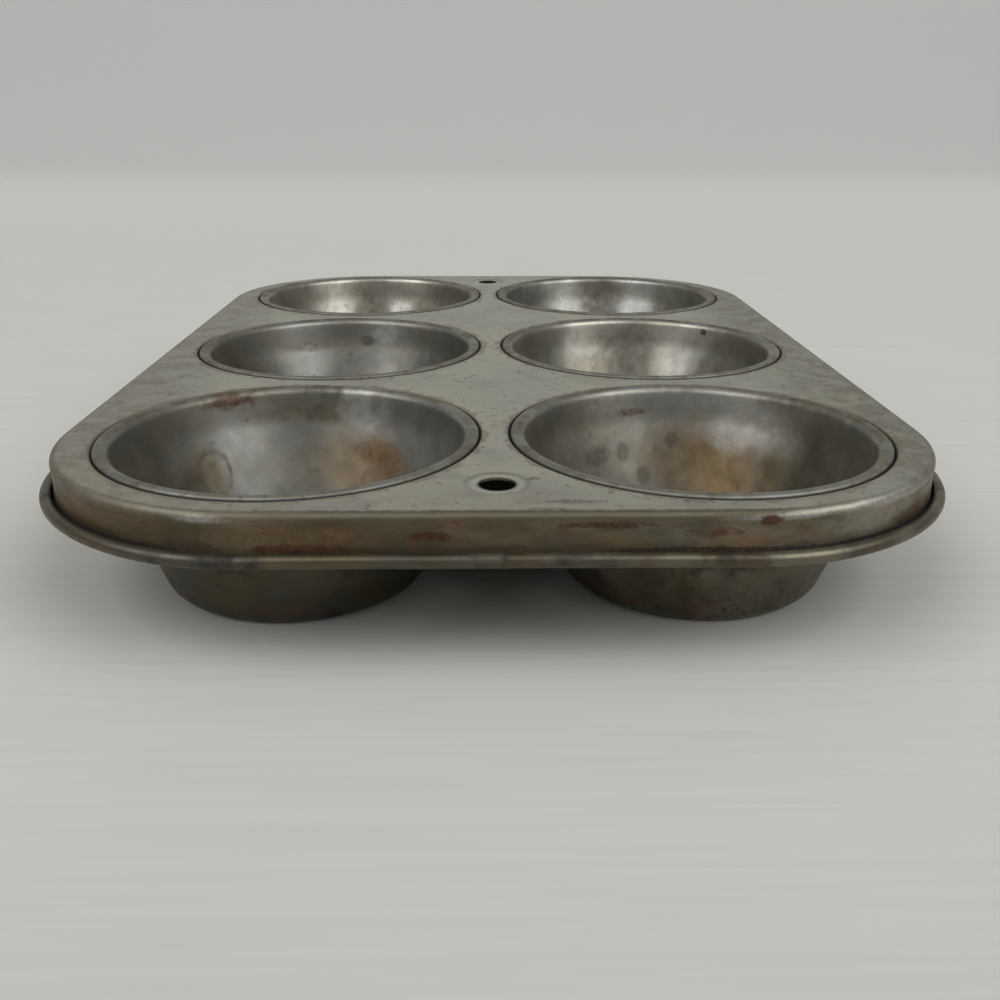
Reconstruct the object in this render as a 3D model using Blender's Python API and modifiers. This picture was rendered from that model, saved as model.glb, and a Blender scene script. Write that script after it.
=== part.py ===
"""Six-cup muffin pan in tinned sheet steel.

A pressed plate carries six drawn cups. The lip of each cup is folded round a collar that is
turned down from the plate's hole, a lock seam, and the edge of the plate is curled over a wire.
Lengths are in metres and +Z is up. The origin lies under the middle of the pan, on the plane
that it stands on. +X is across the pan and +Y is along it, from the front row to the back row.
"""

import math

import bmesh
import bpy
from mathutils import Vector

MM = 0.001

# Sheet and wire
PLATE_SHEET = 0.4 * MM
CUP_SHEET = 0.4 * MM
WIRE_RADIUS = 0.6 * MM
SEAT_CLEARANCE = 0.3 * MM

# Layout: the seam radius runs to the middle of the groove between a cup and the plate
ROWS = ("front", "middle", "back")
COLUMNS = ("left", "right")
SEAM_RADIUS = 38.1 * MM
SEAM_SPACING = 1.3 * MM
SIDE_MARGIN = 8.2 * MM
END_MARGIN = 5.6 * MM
DECK_HEIGHT = 30.3 * MM

# Cup
BEAD_RISE = 0.5 * MM
BEAD_OUTER_RADIUS = 1.0 * MM
BEAD_INNER_RADIUS = 1.8 * MM
NECK_DEPTH = 6.6 * MM
NECK_TAPER = math.radians(11.0)
WALL_TAPER = math.radians(19.4)
BOTTOM_CORNER_RADIUS = 4.8 * MM

# Lock seam
HOLE_BEND_RADIUS = 0.5 * MM
COLLAR_DEPTH = 2.8 * MM
FLARE_WIDTH = 1.2 * MM

# Skirt and wired edge
DECK_BEND_RADIUS = 1.8 * MM
WIRE_DROP = 8.0 * MM
ROLL_STANDOFF = 0.05 * MM
CURL_END_ANGLE = math.radians(130.0)

# Hanging holes, each in a shallow pressed ring
HANG_HOLE_RADIUS = 3.3 * MM
HANG_HOLE_INSET = 14.2 * MM
HANG_RING_WIDTH = 2.0 * MM
HANG_RING_SLOPE = 0.4 * MM
HANG_RING_DEPTH = 0.25 * MM

# Facets
CUP_STEPS = 28
CORNER_STEPS = 8
HANG_HOLE_STEPS = 12
ROLL_STEPS = 7
QUARTER_STEPS = 3
BEAD_STEPS = 2
HOLE_BEND_STEPS = 1
MERGE_DISTANCE = 0.01 * MM

# Middle surfaces of the two sheets where they meet in the seam
COLLAR_RADIUS = SEAM_RADIUS + SEAT_CLEARANCE / 2 + PLATE_SHEET / 2
LIP_RADIUS = SEAM_RADIUS - SEAT_CLEARANCE / 2 - CUP_SHEET / 2
SEAM_LAYER = PLATE_SHEET / 2 + SEAT_CLEARANCE + CUP_SHEET / 2
FLARE_RADIUS = COLLAR_RADIUS + FLARE_WIDTH
HOOK_RADIUS = FLARE_RADIUS + SEAT_CLEARANCE + CUP_SHEET / 2

# Cup grid and the skirt round it
CUP_PITCH = 2 * HOOK_RADIUS + CUP_SHEET + SEAM_SPACING
SKIRT_RADIUS = SEAM_RADIUS + SIDE_MARGIN - PLATE_SHEET / 2
HALF_WIDTH = CUP_PITCH * (len(COLUMNS) - 1) / 2 + SEAM_RADIUS + SIDE_MARGIN - PLATE_SHEET / 2
HALF_LENGTH = CUP_PITCH * (len(ROWS) - 1) / 2 + SEAM_RADIUS + END_MARGIN - PLATE_SHEET / 2
CORE = Vector((HALF_WIDTH - SKIRT_RADIUS, HALF_LENGTH - SKIRT_RADIUS, 0.0))
HANG_HOLE_Y = HALF_LENGTH + PLATE_SHEET / 2 - HANG_HOLE_INSET

# Heights of middle surfaces above the standing plane
DECK_MIDDLE = DECK_HEIGHT - PLATE_SHEET / 2
FLARE_MIDDLE = DECK_HEIGHT - COLLAR_DEPTH
WIRE_HEIGHT = DECK_HEIGHT - WIRE_DROP

# Curl round the wire, measured from the skirt's middle surface
CURL_RADIUS = WIRE_RADIUS + SEAT_CLEARANCE + PLATE_SHEET / 2
WIRE_OFFSET = PLATE_SHEET + ROLL_STANDOFF + CURL_RADIUS


def clear_scene():
    """Removes everything that the scene holds."""
    for obj in list(bpy.data.objects):
        bpy.data.objects.remove(obj, do_unlink=True)


def arc(centre, radius, start, end, steps):
    """Points on an arc in the plane of (distance, height), both ends included."""
    turn = (end - start) / steps
    return [
        (
            centre[0] + radius * math.cos(start + turn * i),
            centre[1] + radius * math.sin(start + turn * i),
        )
        for i in range(steps + 1)
    ]


def make_material(name, color, roughness, metallic):
    """Plain metal finish for one sub-part."""
    material = bpy.data.materials.new(name)
    material.use_nodes = True
    shader = material.node_tree.nodes["Principled BSDF"]
    shader.inputs["Base Color"].default_value = (*color, 1.0)
    shader.inputs["Roughness"].default_value = roughness
    shader.inputs["Metallic"].default_value = metallic
    return material


def add_part(name, data, material, parent, collection):
    """Puts a mesh or a curve into the pan as a named sub-part."""
    part = bpy.data.objects.new(name, data)
    part.parent = parent
    collection.objects.link(part)
    if not data.materials:
        data.materials.append(material)
    return part


def give_thickness(part, thickness):
    """Turns an open middle surface into sheet metal."""
    wall = part.modifiers.new("Sheet", "SOLIDIFY")
    wall.thickness = thickness
    wall.offset = 0.0
    wall.use_even_offset = True
    wall.use_quality_normals = True


def cup_centres():
    """Name and plan position of each cup, row by row."""
    for j, row in enumerate(ROWS):
        for i, column in enumerate(COLUMNS):
            x = (i - (len(COLUMNS) - 1) / 2) * CUP_PITCH
            y = (j - (len(ROWS) - 1) / 2) * CUP_PITCH
            yield f"cup_{row}_{column}", Vector((x, y, 0.0))


def hang_centres():
    """Plan position of the two hanging holes."""
    return [Vector((0.0, side * HANG_HOLE_Y, 0.0)) for side in (-1, 1)]


def circle_points(centre, radius, steps, height):
    """Points of a level circle, anticlockwise from +X."""
    turn = math.tau / steps
    return [
        centre + Vector((radius * math.cos(turn * i), radius * math.sin(turn * i), height))
        for i in range(steps)
    ]


def outline_points(offset, height):
    """Points of the pan's rounded outline, this far outside the skirt, anticlockwise."""
    points = []
    for quarter, (side_x, side_y) in enumerate(((1, 1), (-1, 1), (-1, -1), (1, -1))):
        corner = (side_x * CORE.x, side_y * CORE.y)
        start = quarter * math.pi / 2
        bend = arc(corner, SKIRT_RADIUS + offset, start, start + math.pi / 2, CORNER_STEPS)
        points += [Vector((x, y, height)) for x, y in bend]
    return points


def away_from_core(point):
    """Level direction out of the pan at a point of its rounded outline."""
    near = Vector((max(-CORE.x, min(CORE.x, point.x)), max(-CORE.y, min(CORE.y, point.y)), point.z))
    return (point - near).normalized()


def away_from(centre):
    """Function that gives the level direction away from a hole's centre."""
    return lambda point: Vector((point.x - centre.x, point.y - centre.y, 0.0)).normalized()


def add_loop(bm, points):
    """Closed loop of edges through the points."""
    verts = [bm.verts.new(point) for point in points]
    return [bm.edges.new(pair) for pair in zip(verts, verts[1:] + verts[:1])]


def grow_edge(bm, edges, profile, outward):
    """Extrudes an open edge through a profile of (distance outwards, height)."""
    for (distance, _), (next_distance, height) in zip(profile, profile[1:]):
        grown = bmesh.ops.extrude_edge_only(bm, edges=edges)["geom"]
        verts = {item for item in grown if isinstance(item, bmesh.types.BMVert)}
        for vert in verts:
            vert.co += outward(vert.co) * (next_distance - distance)
            vert.co.z = height
        edges = [
            item
            for item in grown
            if isinstance(item, bmesh.types.BMEdge) and verts.issuperset(item.verts)
        ]


def edge_profile():
    """Plate from the deck's outer bend down the skirt and round the wire."""
    bend_centre = (-DECK_BEND_RADIUS, DECK_MIDDLE - DECK_BEND_RADIUS)
    bend = arc(bend_centre, DECK_BEND_RADIUS, math.pi / 2, 0.0, QUARTER_STEPS)
    foot_centre = (WIRE_OFFSET, WIRE_HEIGHT - CURL_RADIUS + WIRE_OFFSET)
    foot = arc(foot_centre, WIRE_OFFSET, math.pi, 1.5 * math.pi, QUARTER_STEPS)
    wire_centre = (WIRE_OFFSET, WIRE_HEIGHT)
    curl = arc(wire_centre, CURL_RADIUS, -math.pi / 2, CURL_END_ANGLE, ROLL_STEPS)
    return bend + foot + curl[1:]


def collar_profile():
    """Plate from the deck's hole down the collar and out along its flare."""
    bend_centre = (COLLAR_RADIUS + HOLE_BEND_RADIUS, DECK_MIDDLE - HOLE_BEND_RADIUS)
    bend = arc(bend_centre, HOLE_BEND_RADIUS, math.pi / 2, math.pi, HOLE_BEND_STEPS)
    return bend + [(COLLAR_RADIUS, FLARE_MIDDLE), (FLARE_RADIUS, FLARE_MIDDLE)]


def hang_profile():
    """Plate from the deck into the pressed ring of a hanging hole."""
    seat = DECK_MIDDLE - HANG_RING_DEPTH
    ring = HANG_HOLE_RADIUS + HANG_RING_WIDTH
    return [(ring + HANG_RING_SLOPE, DECK_MIDDLE), (ring, seat), (HANG_HOLE_RADIUS, seat)]


def cup_profile():
    """Cup from the middle of its bottom up the wall, over the bead and round the seam's flare."""
    crown = DECK_HEIGHT + BEAD_RISE - CUP_SHEET / 2
    crown_radius = LIP_RADIUS - BEAD_OUTER_RADIUS
    inner_centre = (crown_radius, crown - BEAD_INNER_RADIUS)
    outer_centre = (crown_radius, crown - BEAD_OUTER_RADIUS)
    neck_angle = math.pi - NECK_TAPER
    inner_bead = arc(inner_centre, BEAD_INNER_RADIUS, neck_angle, math.pi / 2, BEAD_STEPS)
    outer_bead = arc(outer_centre, BEAD_OUTER_RADIUS, math.pi / 2, 0.0, BEAD_STEPS)

    neck_top, neck_height = inner_bead[0]
    break_height = DECK_HEIGHT - NECK_DEPTH
    break_radius = neck_top - (neck_height - break_height) * math.tan(NECK_TAPER)

    corner_height = CUP_SHEET / 2 + BOTTOM_CORNER_RADIUS
    wall_radius = break_radius - (break_height - corner_height) * math.tan(WALL_TAPER)
    flat_radius = wall_radius - BOTTOM_CORNER_RADIUS / math.cos(WALL_TAPER)
    corner_centre = (flat_radius, corner_height)
    corner = arc(
        corner_centre, BOTTOM_CORNER_RADIUS, -math.pi / 2, -WALL_TAPER, QUARTER_STEPS
    )

    hook = [
        (LIP_RADIUS, FLARE_MIDDLE - SEAM_LAYER),
        (HOOK_RADIUS, FLARE_MIDDLE - SEAM_LAYER),
        (HOOK_RADIUS, FLARE_MIDDLE + SEAM_LAYER),
        (COLLAR_RADIUS + PLATE_SHEET / 2 + SEAT_CLEARANCE, FLARE_MIDDLE + SEAM_LAYER),
    ]
    middle_of_bottom = [(0.0, CUP_SHEET / 2)]
    wall_break = [(break_radius, break_height)]
    return middle_of_bottom + corner + wall_break + inner_bead + outer_bead[1:] + hook


def build_plate(material, parent, collection):
    """Deck with its holes filled between loops, then every open edge grown through its profile."""
    bm = bmesh.new()
    rim_profile = edge_profile()
    rim_loop = add_loop(bm, outline_points(rim_profile[0][0], DECK_MIDDLE))
    openings = []
    for _, centre in cup_centres():
        profile = collar_profile()
        points = circle_points(centre, profile[0][0], CUP_STEPS, DECK_MIDDLE)
        openings.append((centre, add_loop(bm, points), profile))
    for centre in hang_centres():
        profile = hang_profile()
        points = circle_points(centre, profile[0][0], HANG_HOLE_STEPS, DECK_MIDDLE)
        openings.append((centre, add_loop(bm, points), profile))

    bmesh.ops.triangle_fill(bm, edges=bm.edges[:], use_beauty=True, normal=(0.0, 0.0, 1.0))
    grow_edge(bm, rim_loop, rim_profile, away_from_core)
    for centre, loop, profile in openings:
        grow_edge(bm, loop, profile, away_from(centre))
    bmesh.ops.recalc_face_normals(bm, faces=bm.faces[:])

    mesh = bpy.data.meshes.new("top_plate")
    bm.to_mesh(mesh)
    bm.free()
    mesh.shade_smooth()
    mesh.set_sharp_from_angle(angle=math.radians(50.0))
    plate = add_part("top_plate", mesh, material, parent, collection)
    give_thickness(plate, PLATE_SHEET)
    return plate


def build_wire(material, parent, collection):
    """Closed loop of round wire inside the curl."""
    points = outline_points(WIRE_OFFSET, WIRE_HEIGHT)
    curve = bpy.data.curves.new("rim_wire", "CURVE")
    curve.dimensions = "3D"
    curve.twist_mode = "Z_UP"
    curve.bevel_depth = WIRE_RADIUS
    curve.bevel_resolution = 1
    spline = curve.splines.new("POLY")
    spline.points.add(len(points) - 1)
    for spot, point in zip(spline.points, points):
        spot.co = (*point, 1.0)
    spline.use_cyclic_u = True
    spline.use_smooth = True
    return add_part("rim_wire", curve, material, parent, collection)


def cup_mesh():
    """Turned profile that all the cups share."""
    points = [(radius, 0.0, height) for radius, height in cup_profile()]
    edges = [(i, i + 1) for i in range(len(points) - 1)]
    mesh = bpy.data.meshes.new("cup_profile")
    mesh.from_pydata(points, edges, [])
    return mesh


def build_cup(name, centre, mesh, material, parent, collection):
    """One drawn cup, turned from the shared profile about its own upright axis."""
    cup = add_part(name, mesh, material, parent, collection)
    cup.location = centre
    turn = cup.modifiers.new("Turn", "SCREW")
    turn.axis = "Z"
    turn.angle = math.tau
    turn.steps = CUP_STEPS
    turn.render_steps = CUP_STEPS
    turn.use_merge_vertices = True
    turn.merge_threshold = MERGE_DISTANCE
    turn.use_smooth_shade = True
    give_thickness(cup, CUP_SHEET)
    return cup


def main():
    """Builds the pan."""
    clear_scene()
    collection = bpy.data.collections.new("muffin_pan")
    bpy.context.scene.collection.children.link(collection)
    pan = bpy.data.objects.new("muffin_pan", None)
    collection.objects.link(pan)

    plate_tin = make_material("plate_tin", (0.42, 0.39, 0.34), 0.42, 0.9)
    wire_steel = make_material("wire_steel", (0.30, 0.28, 0.26), 0.50, 0.9)
    cup_tin = make_material("cup_tin", (0.38, 0.38, 0.37), 0.36, 0.9)

    build_plate(plate_tin, pan, collection)
    build_wire(wire_steel, pan, collection)
    shared = cup_mesh()
    for name, centre in cup_centres():
        build_cup(name, centre, shared, cup_tin, pan, collection)


main()
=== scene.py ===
"""Six-cup muffin pan in aged tinned steel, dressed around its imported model.

Lengths are in metres and +Z is up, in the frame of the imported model: +X runs across the pan, +Y
from its front row of cups to its back row, and the cups stand on the plane at height zero.
"""

import logging
import math
from dataclasses import dataclass
from enum import Enum
from typing import Callable, Union

import bmesh
import bpy
from mathutils import Matrix, Vector


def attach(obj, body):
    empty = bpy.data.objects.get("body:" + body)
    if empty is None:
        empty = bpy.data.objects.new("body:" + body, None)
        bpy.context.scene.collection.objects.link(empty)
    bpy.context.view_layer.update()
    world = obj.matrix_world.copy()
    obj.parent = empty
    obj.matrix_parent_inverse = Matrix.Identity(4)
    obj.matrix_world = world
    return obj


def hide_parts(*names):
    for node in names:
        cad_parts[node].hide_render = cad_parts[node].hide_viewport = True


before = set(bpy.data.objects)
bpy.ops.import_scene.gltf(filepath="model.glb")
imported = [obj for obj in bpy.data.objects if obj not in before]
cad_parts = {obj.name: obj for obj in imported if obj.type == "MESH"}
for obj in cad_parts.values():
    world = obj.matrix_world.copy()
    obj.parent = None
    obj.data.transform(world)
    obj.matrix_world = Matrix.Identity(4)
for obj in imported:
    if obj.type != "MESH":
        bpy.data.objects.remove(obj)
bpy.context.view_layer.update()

BODY = "root"
MM = 0.001
WELD = 0.005 * MM
FLAT_ANGLE = math.radians(35.0)
QUARTER = math.radians(90.0)
# Where a cup's wall is measured round its middle
WALL_RADIUS = 33.0 * MM
# The spin operator turns clockwise round its axis: anticlockwise seen from above round the first of
# these, anticlockwise seen from the front round the second
UPRIGHT = (0.0, 0.0, -1.0)
BACKWARD = (0.0, 1.0, 0.0)

log = logging.getLogger("muffin_pan")

Point = tuple[float, float]
Triple = tuple[float, float, float]
Socket = bpy.types.NodeSocket
Outputs = bpy.types.bpy_prop_collection
Plug = Union[Socket, float, Triple, tuple[float, float, float, float]]


class Tone(Enum):
    """Surface colours of the pan, linear. Some also stand in for light: bright and clean tin for painted
    highlights, olive tones and grime for painted shade.
    """

    # Bright and clean tin also serve as painted highlights where the windows reflect
    BRIGHT_TIN_AND_HIGHLIGHT = (0.60, 0.59, 0.55)
    CLEAN_TIN_AND_HIGHLIGHT = (0.50, 0.495, 0.46)
    SAND_TIN = (0.46, 0.447, 0.365)
    TIN = (0.43, 0.42, 0.36)
    WORN_TIN = (0.255, 0.252, 0.225)
    BLUE_TIN = (0.33, 0.345, 0.350)
    SHADE_TIN = (0.200, 0.207, 0.205)
    WARM_TIN = (0.34, 0.305, 0.235)
    DULL_TIN = (0.235, 0.220, 0.180)
    # Olive tin also serves as painted shade on the back cups' side walls
    OLIVE_TIN_AND_SHADE = (0.17, 0.160, 0.115)
    BAKED_BROWN = (0.140, 0.103, 0.060)
    # Olive brown also serves as painted shade on the cups' side walls
    OLIVE_BROWN_AND_SHADE = (0.090, 0.078, 0.048)
    ORANGE_BROWN = (0.20, 0.115, 0.045)
    AMBER = (0.33, 0.212, 0.085)
    DARK_SPOT = (0.085, 0.078, 0.066)
    RUST = (0.088, 0.036, 0.018)
    DARK_RUST = (0.035, 0.016, 0.010)
    # Grime also serves as painted shade in the grooves and crevices
    GRIME_AND_SHADE = (0.010, 0.008, 0.006)


def deselect_all() -> None:
    """Clears the object selection."""
    for obj in bpy.context.selected_objects:
        obj.select_set(False)
    bpy.context.view_layer.objects.active = None


def pick(obj: bpy.types.Object) -> None:
    """Selects one object alone and makes it active.

    Args:
        obj: The object to work on.
    """
    deselect_all()
    obj.select_set(True)
    bpy.context.view_layer.objects.active = obj


def edit(obj: bpy.types.Object) -> None:
    """Opens one object in edit mode.

    Args:
        obj: The mesh object to edit.
    """
    pick(obj)
    bpy.ops.object.mode_set(mode="EDIT")


def leave_edit() -> None:
    """Goes back to object mode."""
    bpy.ops.object.mode_set(mode="OBJECT")


def select_mesh() -> None:
    """Selects all of the mesh in edit mode."""
    bpy.ops.mesh.select_all(action="SELECT")


def extrude(step: Triple) -> None:
    """Extrudes what is selected in edit mode.

    Args:
        step: How far and which way.
    """
    bpy.ops.mesh.extrude_region_move(TRANSFORM_OT_translate={"value": step})


def weld() -> None:
    """Merges the points in edit mode that lie on each other, and leaves all selected."""
    select_mesh()
    bpy.ops.mesh.remove_doubles(threshold=WELD)


def select_edges(obj: bpy.types.Object, wanted: Callable[[bmesh.types.BMEdge], bool]) -> int:
    """Selects the edges of the mesh in edit mode that pass a test, and nothing else.

    Args:
        obj: The object in edit mode.
        wanted: The test on an edge.

    Returns:
        The number of edges selected.
    """
    bpy.ops.mesh.select_mode(type="EDGE")
    bpy.ops.mesh.select_all(action="DESELECT")
    bm = bmesh.from_edit_mesh(obj.data)
    found = [edge for edge in bm.edges if wanted(edge)]
    for edge in found:
        edge.select_set(True)
    bm.select_flush_mode()
    bmesh.update_edit_mesh(obj.data)
    return len(found)


class Pen:
    """Draws a profile as a chain of edges in the upright plane Y = 0, stroke by stroke.

    Args:
        name: The name of the object that holds the chain.
        start: The first point, as distance along X and height.
    """

    def __init__(self, name: str, start: Point) -> None:
        """Starts with a small plane merged to one vertex, left in edit mode."""
        deselect_all()
        bpy.ops.mesh.primitive_plane_add(size=MM, location=(start[0], 0.0, start[1]))
        self.obj = bpy.context.object
        self.obj.name = name
        bpy.ops.object.transform_apply(location=True)
        bpy.ops.object.mode_set(mode="EDIT")
        bpy.ops.mesh.merge(type="CENTER")
        self.at = start

    def line(self, end: Point, steps: int = 1) -> None:
        """Extrudes the open end straight to a point.

        Args:
            end: The point to reach.
            steps: The number of edges.
        """
        for _ in range(steps):
            extrude(((end[0] - self.at[0]) / steps, 0.0, (end[1] - self.at[1]) / steps))
        self.at = end

    def arc(self, centre: Point, turn: float, steps: int) -> None:
        """Spins the open end round a centre.

        Args:
            centre: The centre of the arc.
            turn: The angle, anticlockwise seen from the front.
            steps: The number of edges.
        """
        middle = (centre[0], 0.0, centre[1])
        bpy.ops.mesh.spin(steps=steps, angle=turn, center=middle, axis=BACKWARD)
        across, up = self.at[0] - centre[0], self.at[1] - centre[1]
        self.at = (
            centre[0] + across * math.cos(turn) - up * math.sin(turn),
            centre[1] + across * math.sin(turn) + up * math.cos(turn),
        )

    def fold(self, corner: Point, beyond: Point, radius: float, steps: int = 3) -> None:
        """Runs towards a corner and bends round it, towards the point beyond.

        Args:
            corner: Where the two straight runs would meet.
            beyond: A point that the second run heads for.
            radius: The radius of the bend.
            steps: The number of edges in the bend.
        """
        inward = (Vector(corner) - Vector(self.at)).normalized()
        outward = (Vector(beyond) - Vector(corner)).normalized()
        turn = math.atan2(inward.x * outward.y - inward.y * outward.x, inward.dot(outward))
        start = Vector(corner) - inward * (radius * math.tan(abs(turn) / 2.0))
        side = Vector((-inward.y, inward.x)) * math.copysign(radius, turn)
        self.line(tuple(start))
        self.arc(tuple(start + side), turn, steps)

    def turn_round(self, steps: int) -> bpy.types.Object:
        """Spins the chain once round the upright axis through the origin and closes it.

        Args:
            steps: The number of facets round the axis.

        Returns:
            The open ring or bowl, in object mode.
        """
        select_mesh()
        bpy.ops.mesh.spin(steps=steps, angle=math.tau, center=(0.0, 0.0, 0.0), axis=UPRIGHT)
        weld()
        leave_edit()
        return self.obj


def face_up(obj: bpy.types.Object) -> None:
    """Turns an open sheet so that its largest level face looks up.

    Args:
        obj: The sheet, in object mode.
    """
    edit(obj)
    select_mesh()
    bpy.ops.mesh.normals_make_consistent(inside=False)
    leave_edit()
    level = max(obj.data.polygons, key=lambda face: face.area * abs(face.normal.z))
    if level.normal.z < 0.0:
        edit(obj)
        select_mesh()
        bpy.ops.mesh.flip_normals()
        leave_edit()


def apply_modifier(obj: bpy.types.Object, modifier: bpy.types.Modifier) -> None:
    """Applies one modifier for good.

    Args:
        obj: The object that carries it.
        modifier: The modifier.
    """
    pick(obj)
    bpy.ops.object.modifier_apply(modifier=modifier.name)


class Push(Enum):
    """Ways that the waves of a worn sheet may go."""

    BOTH = ("NORMAL", 0.5)
    INWARD = ("NORMAL", 1.0)
    UP_DOWN = ("Z", 0.5)


def dent(
    obj: bpy.types.Object,
    depth: float,
    size: float,
    share: Callable[[Vector], float],
    push: Push = Push.BOTH,
) -> None:
    """Leaves the shallow waves of a hand-worn sheet in a surface.

    Args:
        obj: The open sheet.
        depth: The height of the waves.
        size: Their width.
        share: How much of the depth a point takes, from 0 to 1.
        push: Which way the waves go.
    """
    waves = bpy.data.textures.new(f"{obj.name}_waves", type="CLOUDS")
    waves.noise_scale = size
    waves.noise_depth = 1
    group = obj.vertex_groups.new(name="waves")
    for vertex in obj.data.vertices:
        group.add([vertex.index], share(vertex.co), "REPLACE")
    modifier = obj.modifiers.new("Waves", "DISPLACE")
    modifier.texture = waves
    modifier.texture_coords = "GLOBAL"
    modifier.strength = depth
    modifier.direction, modifier.mid_level = push.value
    modifier.vertex_group = group.name
    apply_modifier(obj, modifier)
    obj.vertex_groups.clear()


def give_thickness(obj: bpy.types.Object, thickness: float) -> None:
    """Gives an open sheet its thickness, half to each side, with a second finish underneath.

    Args:
        obj: The sheet, facing up.
        thickness: The gauge of the sheet.
    """
    wall = obj.modifiers.new("Sheet", "SOLIDIFY")
    wall.thickness = thickness
    wall.offset = 0.0
    wall.use_even_offset = True
    wall.use_quality_normals = True
    wall.material_offset = 1
    wall.material_offset_rim = 0
    apply_modifier(obj, wall)


def shade_smooth(obj: bpy.types.Object) -> None:
    """Shades a finished piece smooth, with its folds kept crisp.

    Args:
        obj: The piece.
    """
    pick(obj)
    bpy.ops.object.shade_smooth_by_angle(angle=FLAT_ANGLE)


def smooth_step(value: float, low: float, high: float) -> float:
    """Rises smoothly from 0 at low to 1 at high.

    Args:
        value: The number to place.
        low: Where the rise starts.
        high: Where it ends.

    Returns:
        A share from 0 to 1.
    """
    share = min(1.0, max(0.0, (value - low) / (high - low)))
    return share * share * (3.0 - 2.0 * share)


def settle(obj: bpy.types.Object, node: str) -> None:
    """Hands a finished piece to the frame.

    Args:
        obj: The piece, at the origin with its place in its mesh.
        node: The node that it stands for.
    """
    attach(obj, BODY)
    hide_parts(node)
    obj.data.update()
    triangles = sum(len(face.vertices) - 2 for face in obj.data.polygons)
    log.info("%s: %d triangles", obj.name, triangles)


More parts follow.
